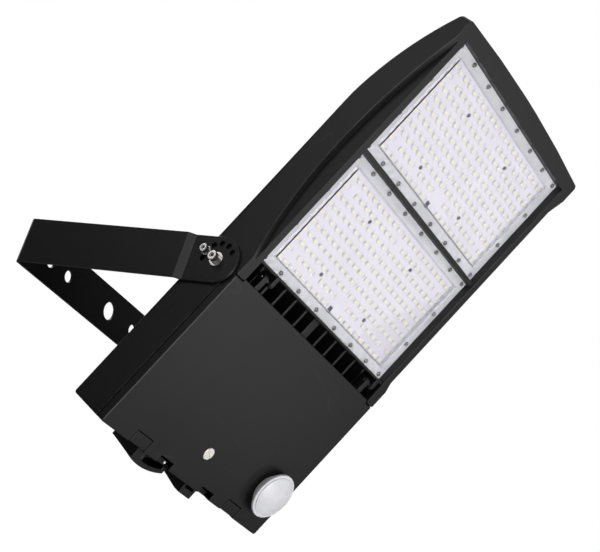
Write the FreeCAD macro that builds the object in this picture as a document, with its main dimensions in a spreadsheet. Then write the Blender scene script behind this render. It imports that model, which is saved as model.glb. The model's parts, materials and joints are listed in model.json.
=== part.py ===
import FreeCAD, Part
import math
import os
import Sketcher

# LED area flood light on a U-shaped tilting bracket.
# Row frame: the origin is the middle of the bracket's wall face, +Z is up,
# +X is the lamp's right as seen from the front and the lamp reaches out along -Y.
# The lamp head is modelled in its own frame: X across, Y from the front plane to the back,
# Z from the driver end to the tip. It is then tilted about the pivot to its photographed angle.

Vector = FreeCAD.Vector
Rotation = FreeCAD.Rotation
Placement = FreeCAD.Placement

doc = FreeCAD.newDocument("flood_light")
sheet = doc.addObject("Spreadsheet::Sheet", "sizes")
sub_parts = []


class Size:
    """A length with its value and the sheet formula that keeps it bound."""

    def __init__(self, value, formula):
        self.value = float(value)
        self.formula = formula

    def joined(self, sign, other, value):
        return Size(value, "(%s %s %s)" % (self.formula, sign, other.formula))

    def __add__(self, other):
        other = as_size(other)
        return self.joined("+", other, self.value + other.value)

    def __radd__(self, other):
        return as_size(other) + self

    def __sub__(self, other):
        other = as_size(other)
        return self.joined("-", other, self.value - other.value)

    def __rsub__(self, other):
        return as_size(other) - self

    def __mul__(self, other):
        other = as_size(other)
        return self.joined("*", other, self.value * other.value)

    def __rmul__(self, other):
        return as_size(other) * self

    def __truediv__(self, other):
        other = as_size(other)
        return self.joined("/", other, self.value / other.value)

    def __neg__(self):
        return Size(-self.value, "(0 - %s)" % self.formula)


def as_size(item):
    """A plain number becomes a size that stands on no cell."""
    if isinstance(item, Size):
        return item
    return Size(item, "(%s)" % repr(float(item)))


def cell(alias, value):
    """Write one driving dimension to the sheet."""
    row = "A%d" % (len(cell.names) + 1)
    cell.names.append(alias)
    sheet.set(row, str(value))
    sheet.setAlias(row, alias)
    return Size(value, "sizes." + alias)


cell.names = []

# Lamp head, overall
head_half_width = cell("head_half_width", 161.5)
tip_flare = cell("tip_flare", 2.5)
head_depth = cell("head_depth", 52)
tip_rim = cell("tip_rim", 16.2)
tip_radius = cell("tip_radius", 2400)
tip_corner = cell("tip_corner", 5)
tip_thickness = cell("tip_thickness", 12.5)
arm_end_corner = cell("arm_end_corner", 3)
back_edge_round = cell("back_edge_round", 2.5)
back_curve_start = cell("back_curve_start", 373)
# Driver box
box_length = cell("box_length", 191.5)
box_wall = cell("box_wall", 5.5)
box_back = cell("box_back", 3)
seam_depth = cell("seam_depth", 9.6)
seam_gap = cell("seam_gap", 1)
# Rim and side scoops
rim_width = cell("rim_width", 15)
rim_corner = cell("rim_corner", 3.5)
scoop_inset = cell("scoop_inset", 5)
scoop_start = cell("scoop_start", 214)
scoop_crest = cell("scoop_crest", 350)
scoop_end = cell("scoop_end", 506)
scoop_rise = cell("scoop_rise", 19.6)
# Air gap, tray and fins
air_gap = cell("air_gap", 25)
tray_bar = cell("tray_bar", 2.6)
bar_drop = cell("bar_drop", 3)
tray_depth = cell("tray_depth", 13)
tray_floor = cell("tray_floor", 4)
module_length = cell("module_length", 143.8)
module_bar = cell("module_bar", 5.6)
rib_front = cell("rib_front", 14)
rib_pitch = cell("rib_pitch", 24.3)
rib_thickness = cell("rib_thickness", 3.6)
fin_thickness = cell("fin_thickness", 2.4)
middle_rib = cell("middle_rib", 12)
fin_side_wall = cell("fin_side_wall", 9)
# Pivot and index lock
pivot_setback = cell("pivot_setback", 2.7)
pivot_depth = cell("pivot_depth", 29.3)
pivot_bolt_radius = cell("pivot_bolt_radius", 3)
pivot_run = cell("pivot_run", 0.08)
pivot_end_play = cell("pivot_end_play", 0.05)
thread_clear = cell("thread_clear", 0.05)
pivot_boss_radius = cell("pivot_boss_radius", 12)
pivot_boss_length = cell("pivot_boss_length", 14)
index_circle = cell("index_circle", 17.2)
index_step = 30
index_count = 6
index_hole_radius = cell("index_hole_radius", 3)
index_bolt_radius = cell("index_bolt_radius", 2.5)
index_boss_radius = cell("index_boss_radius", 5)
tilt_at_rest = 29.3
# Bracket
bar_width = cell("bar_width", 50)
bar_thickness = cell("bar_thickness", 3.2)
bar_bend = cell("bar_bend", 3)
arm_reach = cell("arm_reach", 243.5)
ear_gap = cell("ear_gap", 0.4)
joggle_step = cell("joggle_step", 5)
joggle_near = cell("joggle_near", 33)
joggle_far = cell("joggle_far", 40)
centre_hole_radius = cell("centre_hole_radius", 10)
side_hole_radius = cell("side_hole_radius", 6.5)
inner_hole_offset = cell("inner_hole_offset", 84.5)
outer_hole_offset = cell("outer_hole_offset", 119)
extra_hole_offset = cell("extra_hole_offset", 50)
# Hexagon-socket bolts and washers
pivot_head_radius = cell("pivot_head_radius", 5)
pivot_head_height = cell("pivot_head_height", 6)
pivot_socket_radius = cell("pivot_socket_radius", 2.9)
index_head_radius = cell("index_head_radius", 4.25)
index_head_height = cell("index_head_height", 5)
index_socket_radius = cell("index_socket_radius", 2.4)
socket_share = 0.6
pivot_washer_radius = cell("pivot_washer_radius", 7.6)
pivot_washer_thickness = cell("pivot_washer_thickness", 1.6)
pivot_spring_radius = cell("pivot_spring_radius", 5.2)
pivot_spring_thickness = cell("pivot_spring_thickness", 2.4)
index_washer_radius = cell("index_washer_radius", 5)
index_washer_thickness = cell("index_washer_thickness", 1.2)
index_spring_radius = cell("index_spring_radius", 4.3)
index_spring_thickness = cell("index_spring_thickness", 1.6)
# Door
door_margin = cell("door_margin", 0.5)
door_overlap = cell("door_overlap", 2.5)
door_skin = cell("door_skin", 2.8)
door_wall = cell("door_wall", 3)
door_edge_round = cell("door_edge_round", 1.5)
door_swing_clear = cell("door_swing_clear", 0.3)
door_inner_corner = cell("door_inner_corner", 3)
lug_inner = cell("lug_inner", 80)
lug_outer = cell("lug_outer", 110)
lug_height = cell("lug_height", 15)
lug_gap = cell("lug_gap", 1)
lug_root = cell("lug_root", 24)
notch_inner = cell("notch_inner", 30.5)
notch_outer = cell("notch_outer", 55.5)
notch_height = cell("notch_height", 8.8)
gasket_width = cell("gasket_width", 2.4)
gasket_clear = cell("gasket_clear", 0.15)
# Door hinge
hinge_offset = cell("hinge_offset", 16)
hinge_depth = cell("hinge_depth", 5.2)
hinge_pin_radius = cell("hinge_pin_radius", 1.5)
hinge_run = cell("hinge_run", 0.08)
pin_overhang = cell("pin_overhang", 1)
knuckle_radius = cell("knuckle_radius", 4.4)
tongue_width = cell("tongue_width", 7.6)
tongue_offset = cell("tongue_offset", 123)
hinge_lug_width = cell("hinge_lug_width", 6)
hinge_lug_gap = cell("hinge_lug_gap", 7)
# Door screw
screw_height = cell("screw_height", 39)
screw_head_radius = cell("screw_head_radius", 6.4)
screw_head_height = cell("screw_head_height", 2.4)
screw_recess = cell("screw_recess", 1.9)
screw_recess_clear = cell("screw_recess_clear", 0.8)
screw_shank_radius = cell("screw_shank_radius", 2.5)
screw_shank_length = cell("screw_shank_length", 14)
screw_slot = cell("screw_slot", 1.2)
screw_slot_turn = 35
screw_boss_radius = cell("screw_boss_radius", 7)
screw_play = cell("screw_play", 0.6)
# Motion sensor
sensor_across = cell("sensor_across", 120.5)
sensor_height = cell("sensor_height", 47.5)
sensor_neck_radius = cell("sensor_neck_radius", 20)
sensor_neck_height = cell("sensor_neck_height", 8)
sensor_cap_radius = cell("sensor_cap_radius", 27.6)
sensor_cap_rim = cell("sensor_cap_rim", 4)
sensor_cap_rise = cell("sensor_cap_rise", 7)
sensor_stem_radius = cell("sensor_stem_radius", 10)
sensor_stem_clear = cell("sensor_stem_clear", 0.2)
sensor_stem_length = cell("sensor_stem_length", 10)
sensor_nut_radius = cell("sensor_nut_radius", 15)
sensor_nut_height = cell("sensor_nut_height", 4.5)
sensor_seal = cell("sensor_seal", 1)
# LED modules
lens_clear = cell("lens_clear", 0.4)
lens_front = cell("lens_front", 4.6)
lens_flange = cell("lens_flange", 2.4)
lens_flange_width = cell("lens_flange_width", 11.3)
lens_flange_side = cell("lens_flange_side", 16)
lens_skin = cell("lens_skin", 2.2)
lens_gasket_height = cell("lens_gasket_height", 2)
board_thickness = cell("board_thickness", 1.6)
board_margin = cell("board_margin", 0.8)
# Arm end casting
cheek_across = cell("cheek_across", 78)
cheek_width = cell("cheek_width", 12)
cheek_reach = cell("cheek_reach", 11.5)
cheek_front = cell("cheek_front", 10)
cheek_slope = cell("cheek_slope", 1.7)
hood_front = cell("hood_front", 22)
hood_taper = cell("hood_taper", 1.5)
hood_back_radius = cell("hood_back_radius", 160)
hood_across = cell("hood_across", 7)
hood_reach = cell("hood_reach", 9.5)
hood_radius = cell("hood_radius", 96)
hood_wall = cell("hood_wall", 6)
hood_floor = cell("hood_floor", 8)
block_inner = cell("block_inner", 18.5)
block_outer = cell("block_outer", 41)
block_reach = cell("block_reach", 12.6)
block_shoulder = cell("block_shoulder", 18)
block_taper = cell("block_taper", 5)
block_wall = cell("block_wall", 3)
entry_radius = cell("entry_radius", 8)
entry_across = cell("entry_across", 42)
entry_depth = cell("entry_depth", 36)
grommet_reach = cell("grommet_reach", 13)
grommet_wall = cell("grommet_wall", 4)
grommet_lip = cell("grommet_lip", 2)
grommet_clear = cell("grommet_clear", 0.1)
# Inside the driver box
driver_length = cell("driver_length", 134)
driver_width = cell("driver_width", 58)
driver_height = cell("driver_height", 32)
driver_across = cell("driver_across", 78)
driver_top_gap = cell("driver_top_gap", 8)
driver_tab = cell("driver_tab", 6)
driver_tab_thickness = cell("driver_tab_thickness", 2)
terminal_length = cell("terminal_length", 46)
terminal_width = cell("terminal_width", 20)
terminal_height = cell("terminal_height", 17)
terminal_across = cell("terminal_across", -60)
surge_length = cell("surge_length", 50)
surge_width = cell("surge_width", 30)
surge_thickness = cell("surge_thickness", 22)
surge_across = cell("surge_across", 52)
surge_gap = cell("surge_gap", 6)
earth_radius = cell("earth_radius", 4)
earth_height = cell("earth_height", 5)
earth_across = cell("earth_across", -112)
earth_place = cell("earth_place", 60)
# How far a cutting sketch reaches past the material
past = cell("overshoot", 5)

doc.recompute()

# Values that follow from the driving ones
tray_start = box_length + air_gap
lens_start = tray_start + tray_bar
lens_end = lens_start + module_length * 2 + module_bar
head_length = lens_end + tip_rim
tip_half_width = head_half_width + tip_flare
rim_half_width = head_half_width - rim_width
scoop_half_width = head_half_width - scoop_inset
box_inner_half = head_half_width - box_wall
box_inner_top = box_length - box_wall
ear_inner = head_half_width + ear_gap
ear_outer = ear_inner + bar_thickness
bar_outer = ear_outer + joggle_step
pivot_height = box_length - pivot_setback
hinge_height = box_length + hinge_offset
door_length = box_length + door_overlap
# The door's corners clear the rim as they swing out past the front
door_ear_gap = door_swing_clear + hinge_depth * hinge_depth / (hinge_offset * 2)
door_half_width = head_half_width - door_margin
door_rim = seam_depth - seam_gap
driver_top = box_inner_top - driver_top_gap
terminal_place = driver_top - driver_width - surge_gap - surge_width
tip_bulge = tip_half_width * tip_half_width / (tip_radius * 2)


def head_placement():
    """The lamp frame, tilted about the pivot and carried out to the bracket's ears."""
    pivot = Vector(0, pivot_depth.value, pivot_height.value)
    base = Vector(0, -arm_reach.value, 0) - pivot
    return Placement(base, Rotation(Vector(1, 0, 0), tilt_at_rest), pivot)


# Sketch and feature helpers


def new_body(label, several=False):
    """An empty body; several lets it hold separate solids."""
    body = doc.addObject("PartDesign::Body", label)
    body.Label = label
    body.AllowCompound = several
    return body


def origin_item(body, role):
    return next(item for item in body.Origin.OriginFeatures if item.Role == role)


def new_sketch(body, name, role, offset=None):
    """A sketch on one of the body's planes, moved along the plane's normal by offset."""
    sketch = body.newObject("Sketcher::SketchObject", name)
    sketch.AttachmentSupport = [(origin_item(body, role), "")]
    sketch.MapMode = "FlatFace"
    if offset is not None:
        sketch.AttachmentOffset = Placement(Vector(0, 0, offset.value), Rotation())
        sketch.setExpression("AttachmentOffset.Base.z", offset.formula)
    return sketch


def bind(sketch, dimensions):
    """Add dimensions to a sketch, each as (kind, links, size), and bind them to the sheet."""
    new = [Sketcher.Constraint(kind, *links, size.value) for kind, links, size in dimensions]
    numbers = sketch.addConstraint(new)
    for number, (kind, links, size) in zip(numbers, dimensions):
        sketch.setExpression("Constraints[%d]" % number, size.formula)


def arc_between(start, end, radius):
    """The arc of under half a turn from start to end, anticlockwise for a positive radius."""
    chord = end - start
    side = Vector(-chord.y, chord.x, 0).normalize()
    rise = math.sqrt(radius * radius - (chord.Length / 2) ** 2)
    centre = (start + end) * 0.5 + side * math.copysign(rise, radius)
    first, last = (start, end) if radius > 0 else (end, start)
    from_angle = math.atan2(first.y - centre.y, first.x - centre.x)
    to_angle = math.atan2(last.y - centre.y, last.x - centre.x)
    circle = Part.Circle(centre, Vector(0, 0, 1), abs(radius))
    return Part.ArcOfCircle(circle, from_angle, to_angle)


def loop(sketch, points):
    """A closed outline. A point is (x, y), or (x, y, radius) where an arc leads to the next."""
    points = [tuple(as_size(item) for item in point) for point in points]
    places = [Vector(point[0].value, point[1].value, 0) for point in points]
    lines = []
    for number, point in enumerate(points):
        start = places[number]
        end = places[(number + 1) % len(points)]
        curved = len(point) == 3
        lines.append(arc_between(start, end, point[2].value) if curved else Part.LineSegment(start, end))
    numbers = sketch.addGeometry(lines, False)
    ends = []
    for point, geometry in zip(points, numbers):
        backwards = len(point) == 3 and point[2].value < 0
        ends.append((geometry, 2, 1) if backwards else (geometry, 1, 2))
    joints = []
    bound = []
    for number, (geometry, first, last) in enumerate(ends):
        follower = ends[(number + 1) % len(ends)]
        joints.append(Sketcher.Constraint("Coincident", geometry, last, follower[0], follower[1]))
        point = points[number]
        bound.append(("DistanceX", (-1, 1, geometry, first), point[0]))
        bound.append(("DistanceY", (-1, 1, geometry, first), point[1]))
        if len(point) == 3:
            bound.append(("Radius", (geometry,), point[2] if point[2].value > 0 else -point[2]))
    sketch.addConstraint(joints)
    bind(sketch, bound)
    return sketch


def rectangle(sketch, left, right, low, high):
    """A rectangle from its four sides."""
    return loop(sketch, [(left, low), (right, low), (right, high), (left, high)])


def circle(sketch, across, up, radius):
    """A circle from its centre and radius."""
    across, up = as_size(across), as_size(up)
    shape = Part.Circle(Vector(across.value, up.value, 0), Vector(0, 0, 1), radius.value)
    geometry = sketch.addGeometry(shape, False)
    bind(sketch, [
        ("DistanceX", (-1, 1, geometry, 3), across),
        ("DistanceY", (-1, 1, geometry, 3), up),
        ("Radius", (geometry,), radius),
    ])
    return sketch


def extrude(kind, body, sketch, length, reverse=False, middle=False):
    """A pad or pocket of a sketch."""
    feature = body.newObject("PartDesign::" + kind, sketch.Name + "_" + kind.lower())
    feature.Profile = sketch
    feature.Length = length.value
    feature.setExpression("Length", length.formula)
    feature.Reversed = reverse
    feature.Midplane = middle
    feature.Refine = False
    body.Tip = feature
    doc.recompute()
    return feature


def pad(body, sketch, length, reverse=False, middle=False):
    return extrude("Pad", body, sketch, length, reverse, middle)


def pocket(body, sketch, length, reverse=False, middle=False):
    """A pocket that has to remove something."""
    before = body.Shape.Volume
    feature = extrude("Pocket", body, sketch, length, reverse, middle)
    if body.Shape.Volume > before - 1e-3:
        raise RuntimeError("nothing was cut by " + feature.Name)
    return feature


def mirror(body, features, role="YZ_Plane"):
    """Repeat features on the other side of one of the body's planes."""
    feature = body.newObject("PartDesign::Mirrored", features[-1].Name + "_mirrored")
    feature.Originals = features
    feature.MirrorPlane = (origin_item(body, role), [""])
    feature.Refine = False
    body.Tip = feature
    doc.recompute()
    return feature


def round_edges(body, name, radius, chosen):
    """Round the edges that the test picks from the body's shape so far."""
    base = body.Tip
    edges = enumerate(base.Shape.Edges)
    names = ["Edge%d" % (number + 1) for number, edge in edges if chosen(edge)]
    feature = body.newObject("PartDesign::Fillet", name)
    feature.Base = (base, names)
    feature.Radius = radius.value
    feature.setExpression("Radius", radius.formula)
    body.Tip = feature
    doc.recompute()
    return feature


def near(left, right):
    return abs(left - right) < 0.01


def flat_at(edge, axis, level):
    """Whether an edge lies wholly at one level along an axis."""
    box = edge.BoundBox
    low, high = {"x": (box.XMin, box.XMax), "y": (box.YMin, box.YMax), "z": (box.ZMin, box.ZMax)}[axis]
    return near(low, level) and near(high, level)


def keep(item, placement=None):
    """Take a body into the list of sub-parts, with its split faces joined and at its place."""
    item.Tip.Refine = True
    if placement is not None:
        item.Placement = placement
    sub_parts.append(item)
    return item


def keep_on_head(item):
    return keep(item, head_placement())


# Bracket


def bracket():
    """A flat bar bent to a U, with joggled, round-ended ears that carry the index holes."""
    body = new_body("yoke_bracket")
    half = bar_width / 2
    outer_bend = bar_bend + bar_thickness
    inner = bar_outer - bar_thickness
    near_end = joggle_near - arm_reach
    far_end = joggle_far - arm_reach
    tip = -(arm_reach + half)
    right = [
        (bar_outer - outer_bend, 0, -outer_bend),
        (bar_outer, -outer_bend),
        (bar_outer, far_end),
        (ear_outer, near_end),
        (ear_outer, tip),
        (ear_inner, tip),
        (ear_inner, near_end),
        (inner, far_end),
        (inner, -outer_bend, bar_bend),
        (inner - bar_bend, -bar_thickness),
    ]
    left = [
        (bar_bend - inner, -bar_thickness, bar_bend),
        (-inner, -outer_bend),
        (-inner, far_end),
        (-ear_inner, near_end),
        (-ear_inner, tip),
        (-ear_outer, tip),
        (-ear_outer, near_end),
        (-bar_outer, far_end),
        (-bar_outer, -outer_bend, -outer_bend),
        (outer_bend - bar_outer, 0),
    ]
    pad(body, loop(new_sketch(body, "bar_profile", "XY_Plane"), right + left), bar_width, middle=True)

    outside = half + past
    across = bar_outer * 2 + past
    ear_round = [
        (-arm_reach, half, half),
        (tip, 0, half),
        (-arm_reach, -half),
        (-arm_reach, -outside),
        (tip - past, -outside),
        (tip - past, outside),
        (-arm_reach, outside),
    ]
    pocket(body, loop(new_sketch(body, "ear_round", "YZ_Plane"), ear_round), across, middle=True)

    ear_holes = new_sketch(body, "ear_holes", "YZ_Plane")
    circle(ear_holes, -arm_reach, 0, pivot_bolt_radius + pivot_run)
    for number in range(index_count):
        turn = math.radians(index_step * number)
        along = index_circle * math.cos(turn) - arm_reach
        circle(ear_holes, along, index_circle * math.sin(turn), index_hole_radius)
    pocket(body, ear_holes, across, middle=True)

    wall_holes = new_sketch(body, "wall_holes", "XZ_Plane")
    circle(wall_holes, 0, 0, centre_hole_radius)
    side_holes = [-outer_hole_offset, -inner_hole_offset, extra_hole_offset]
    side_holes += [inner_hole_offset, outer_hole_offset]
    for offset in side_holes:
        circle(wall_holes, offset, 0, side_hole_radius)
    pocket(body, wall_holes, bar_thickness * 2 + past, middle=True)
    return keep(body)


# Bolts and washers


def socket_bolts(label, place, head_radius, head_height, shank_radius, shank_length, socket_radius, seat):
    """A mirrored pair of hexagon-socket bolts whose heads sit at seat, pointing inwards."""
    body = new_body(label, several=True)
    depth, height = place
    shank = new_sketch(body, label + "_shank", "YZ_Plane", seat - shank_length)
    first = pad(body, circle(shank, depth, height, shank_radius), shank_length)
    head = new_sketch(body, label + "_head", "YZ_Plane", seat)
    second = pad(body, circle(head, depth, height, head_radius), head_height)
    corners = []
    for number in range(6):
        turn = math.radians(60 * number)
        corners.append((depth + socket_radius * math.cos(turn), height + socket_radius * math.sin(turn)))
    socket = new_sketch(body, label + "_socket", "YZ_Plane", seat + head_height)
    third = pocket(body, loop(socket, corners), head_height * socket_share)
    mirror(body, [first, second, third])
    return body


def washers(label, place, radius, hole_radius, seat, thickness):
    """A mirrored pair of washers that lie on seat, outside the ears."""
    body = new_body(label, several=True)
    ring = new_sketch(body, label + "_ring", "YZ_Plane", seat)
    circle(ring, place[0], place[1], radius)
    circle(ring, place[0], place[1], hole_radius)
    mirror(body, [pad(body, ring, thickness)])
    return body


def pivot_hardware():
    """Pivot bolts that turn with the head, with a flat and a spring washer under each."""
    place = (pivot_depth, pivot_height)
    washer_seat = ear_outer + pivot_end_play
    spring_seat = washer_seat + pivot_washer_thickness
    seat = spring_seat + pivot_spring_thickness
    length = seat - head_half_width + pivot_boss_length - pivot_bolt_radius
    hole = pivot_bolt_radius + thread_clear
    bolts = socket_bolts("pivot_bolts", place, pivot_head_radius, pivot_head_height,
                         pivot_bolt_radius, length, pivot_socket_radius, seat)
    keep_on_head(bolts)
    keep_on_head(washers("pivot_washers", place, pivot_washer_radius, hole,
                         washer_seat, pivot_washer_thickness))
    keep_on_head(washers("pivot_spring_washers", place, pivot_spring_radius, hole,
                         spring_seat, pivot_spring_thickness))


def index_hardware():
    """Index bolts in the ears' second holes, ending flush with the ears' inner faces."""
    turn = math.radians(tilt_at_rest)
    place = (index_circle * math.cos(turn) - arm_reach, index_circle * math.sin(turn))
    spring_seat = ear_outer + index_washer_thickness
    seat = spring_seat + index_spring_thickness
    hole = index_bolt_radius + thread_clear
    keep(socket_bolts("index_bolts", place, index_head_radius, index_head_height,
                      index_bolt_radius, seat - ear_inner, index_socket_radius, seat))
    keep(washers("index_washers", place, index_washer_radius, hole, ear_outer, index_washer_thickness))
    keep(washers("index_spring_washers", place, index_spring_radius, hole,
                 spring_seat, index_spring_thickness))


# Housing


def housing():
    """The die-cast body: driver box, air gap with ribs, LED tray, fins, scooped sides and arm end."""
    body = new_body("housing")
    outline(body)
    fronts(body)
    cavities(body)
    pivots(body)
    arm_end(body)
    inside_bosses(body)
    hinge_lugs(body)
    scoops(body)
    fins(body)
    return keep_on_head(body)


def outline(body):
    """The plan outline through the full depth, with the back curved down to the tip."""
    half = head_half_width
    wide = tip_half_width
    plan = [
        (arm_end_corner - half, 0),
        (half - arm_end_corner, 0, arm_end_corner),
        (half, arm_end_corner),
        (half, scoop_start),
        (wide, head_length - tip_corner, tip_corner),
        (wide - tip_corner, head_length, tip_radius),
        (tip_corner - wide, head_length, tip_corner),
        (-wide, head_length - tip_corner),
        (-half, scoop_start),
        (-half, arm_end_corner, arm_end_corner),
    ]
    pad(body, loop(new_sketch(body, "plan", "XZ_Plane"), plan), head_depth, reverse=True)
    round_edges(body, "back_edges", back_edge_round, lambda edge: flat_at(edge, "y", head_depth.value))
    drop = head_depth - tip_thickness
    run = head_length - back_curve_start
    bend = (run * run + drop * drop) / (drop * 2)
    beyond = head_length + tip_bulge + past
    back = [
        (head_depth, back_curve_start, bend),
        (tip_thickness, head_length),
        (tip_thickness, beyond),
        (head_depth + past, beyond),
        (head_depth + past, back_curve_start),
    ]
    across = wide * 2 + past
    pocket(body, loop(new_sketch(body, "back_curve", "YZ_Plane"), back), across, middle=True)


def fronts(body):
    """Steps in the front: the door's seat, the air gap, the rim's round ends and the lowered bars."""
    half = head_half_width + past
    seat = rectangle(new_sketch(body, "door_seat", "XZ_Plane"), -half, half, -past, box_length)
    pocket(body, seat, seam_depth)
    rim = rim_half_width
    gap = rectangle(new_sketch(body, "gap_front", "XZ_Plane"), -rim, rim, box_length, tray_start)
    pocket(body, gap, rib_front)
    corner = loop(new_sketch(body, "rim_end_corner", "XZ_Plane"), [
        (rim, box_length),
        (rim + rim_corner, box_length, -rim_corner),
        (rim, box_length + rim_corner),
    ])
    mirror(body, [pocket(body, corner, seam_depth)])
    bars = rectangle(new_sketch(body, "tray_bars", "XZ_Plane"), -rim, rim, tray_start, lens_end)
    pocket(body, bars, bar_drop)


def cavities(body):
    """The driver box and the two lens recesses."""
    box = new_sketch(body, "driver_box", "XZ_Plane")
    rectangle(box, -box_inner_half, box_inner_half, box_wall, box_inner_top)
    pocket(body, box, head_depth - box_back)
    recess = new_sketch(body, "lens_recess", "XZ_Plane")
    for number in range(2):
        low = lens_start + (module_length + module_bar) * number
        rectangle(recess, -rim_half_width, rim_half_width, low, low + module_length)
    pocket(body, recess, tray_depth)


def fins(body):
    """Channels between the lengthwise fins, open to the back, and between the ribs in the gap."""
    floor = tray_depth + tray_floor
    side = head_half_width - fin_side_wall
    beyond = head_length + tip_bulge + past
    channels = new_sketch(body, "fin_channels", "XZ_Plane", -floor)
    for left, right in spaces(rib_pitch / 2, 2, side, fin_thickness):
        rectangle(channels, left, right, tray_start, beyond)
    first = pocket(body, channels, head_depth)
    openings = new_sketch(body, "rib_openings", "XZ_Plane", -rib_front)
    for left, right in spaces(rib_pitch, 1, rim_half_width, rib_thickness):
        rectangle(openings, left, right, box_length, tray_start)
    second = pocket(body, openings, head_depth)
    mirror(body, [first, second])


def spaces(pitch, first, side, thickness):
    """The clear spaces from the middle rib out to the side, between fins at multiples of a pitch."""
    found = []
    left = middle_rib / 2
    last = int((side.value - thickness.value) / pitch.value)
    for number in range(first, last + 1):
        middle = pitch * number
        found.append((left, middle - thickness / 2))
        left = middle + thickness / 2
    return found + [(left, side)]


def scoops(body):
    """The arched scoop that leaves a ledge along each side."""
    low = scoop_crest - scoop_start
    high = scoop_end - scoop_crest
    low_bend = (low * low + scoop_rise * scoop_rise) / (scoop_rise * 2)
    high_bend = (high * high + scoop_rise * scoop_rise) / (scoop_rise * 2)
    arch = [
        (0, scoop_start, low_bend),
        (scoop_rise, scoop_crest, high_bend),
        (0, scoop_end),
        (-past, scoop_end),
        (-past, scoop_start),
    ]
    sketch = new_sketch(body, "side_scoop", "YZ_Plane", scoop_half_width)
    deep = tip_half_width - scoop_half_width + past
    mirror(body, [pocket(body, loop(sketch, arch), deep, reverse=True)])


def pivots(body):
    """Inner bosses with the tapped pivot and index holes on both sides."""
    inner = head_half_width - pivot_boss_length
    lock = pivot_depth + index_circle
    boss = new_sketch(body, "pivot_boss", "YZ_Plane", inner)
    circle(boss, pivot_depth, pivot_height, pivot_boss_radius)
    first = pad(body, boss, pivot_boss_length - box_wall / 2)
    guard = new_sketch(body, "index_boss", "YZ_Plane", inner)
    circle(guard, lock, pivot_height, index_boss_radius)
    second = pad(body, guard, pivot_boss_length - box_wall / 2)
    mirror(body, [first, second])
    holes = new_sketch(body, "pivot_hole", "YZ_Plane", inner)
    circle(holes, pivot_depth, pivot_height, pivot_bolt_radius + thread_clear)
    deep = pocket(body, holes, pivot_boss_length + past, reverse=True)
    mirror(body, [deep])
    tapped = new_sketch(body, "index_hole", "YZ_Plane", inner + box_wall / 2)
    circle(tapped, lock, pivot_height, index_bolt_radius)
    shallow = pocket(body, tapped, pivot_boss_length + past, reverse=True)
    mirror(body, [shallow])


def arm_end(body):
    """Door stops at the seam, and the cast hood, cheek and block round the wire entry."""
    stop = new_sketch(body, "door_stop", "XZ_Plane")
    rectangle(stop, lug_inner + lug_gap, lug_outer - lug_gap, lug_gap, lug_height - lug_gap)
    mirror(body, [pad(body, stop, lug_root, reverse=True)])

    back = head_depth - back_edge_round
    inside = box_wall / 2
    front_section = hood_section(body, "hood_front_section", hood_front, 0, hood_radius)
    back_section = hood_section(body, "hood_back_section", back, hood_taper, hood_back_radius)
    doc.recompute()
    loft = body.newObject("PartDesign::AdditiveLoft", "hood")
    loft.Profile = front_section
    loft.Sections = [back_section]
    loft.Ruled = True
    body.Tip = loft
    doc.recompute()
    cheek = new_sketch(body, "cheek", "YZ_Plane", -cheek_across)
    loop(cheek, [
        (cheek_front, inside),
        (cheek_front, -(cheek_reach + cheek_slope)),
        (hood_front + past, -cheek_reach),
        (hood_front + past, inside),
    ])
    pad(body, cheek, cheek_width)
    well = new_sketch(body, "hood_well", "XZ_Plane", -hood_front)
    loop(well, [
        (cheek_width - cheek_across, 0),
        (cheek_width - cheek_across, hood_wall / 2 - cheek_reach, hood_radius - hood_wall),
        (-hood_across - hood_wall, hood_wall / 2 - hood_reach),
        (-hood_across - hood_wall, 0),
    ])
    pocket(body, well, back - hood_front - hood_floor)

    block = new_sketch(body, "block", "YZ_Plane", block_inner)
    loop(block, [
        (cheek_front, inside),
        (cheek_front, -block_reach),
        (block_shoulder, -block_reach),
        (back, block_taper - block_reach),
        (back, inside),
    ])
    pad(body, block, block_outer - block_inner)
    hollow = new_sketch(body, "block_hollow", "XZ_Plane", -cheek_front)
    rectangle(hollow, block_inner + block_wall, block_outer - block_wall,
              block_wall + block_taper - block_reach, 0)
    pocket(body, hollow, back - cheek_front - hood_floor)

    entry = new_sketch(body, "wire_entry", "XY_Plane", -(cheek_reach * 2))
    circle(entry, -entry_across, entry_depth, entry_radius)
    pocket(body, entry, cheek_reach * 2 + box_wall + past, reverse=True)


def hood_section(body, name, depth, taper, radius):
    """One section of the hood: straight cheeks joined by a shallow arch."""
    inside = box_wall / 2
    section = new_sketch(body, name, "XZ_Plane", -depth)
    return loop(section, [
        (-cheek_across, inside),
        (-cheek_across, taper - cheek_reach, radius),
        (-hood_across, taper - hood_reach),
        (-hood_across, inside),
    ])


def inside_bosses(body):
    """The post that takes the door screw, bored with play for the swing of the door."""
    top = door_skin + screw_shank_length / 2
    post = new_sketch(body, "screw_post", "XZ_Plane", -top)
    circle(post, 0, screw_height, screw_boss_radius)
    circle(post, 0, screw_height, screw_shank_radius + screw_play)
    pad(body, post, head_depth - box_back - top, reverse=True)


def hinge_lugs(body):
    """The two lugs beside the door's tongues that hold the hinge pins."""
    front = hinge_depth - knuckle_radius
    back = hinge_depth + knuckle_radius
    top = tray_start + tray_bar / 2
    for name, start in (("left_lug", lug_start(-1)), ("right_lug", lug_start(1))):
        lug = new_sketch(body, name, "YZ_Plane", start)
        loop(lug, [
            (front, hinge_height, knuckle_radius),
            (hinge_depth, hinge_height - knuckle_radius, knuckle_radius),
            (back, hinge_height),
            (back, top),
            (front, top),
        ])
        pad(body, lug, hinge_lug_width)
        hole = new_sketch(body, name + "_hole", "YZ_Plane", start)
        circle(hole, hinge_depth, hinge_height, hinge_pin_radius + thread_clear)
        pocket(body, hole, hinge_lug_width, reverse=True)


def tongue_start(side):
    """Where a door tongue begins across the lamp, for the left (-1) or the right (1)."""
    return tongue_offset * side - tongue_width / 2


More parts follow.
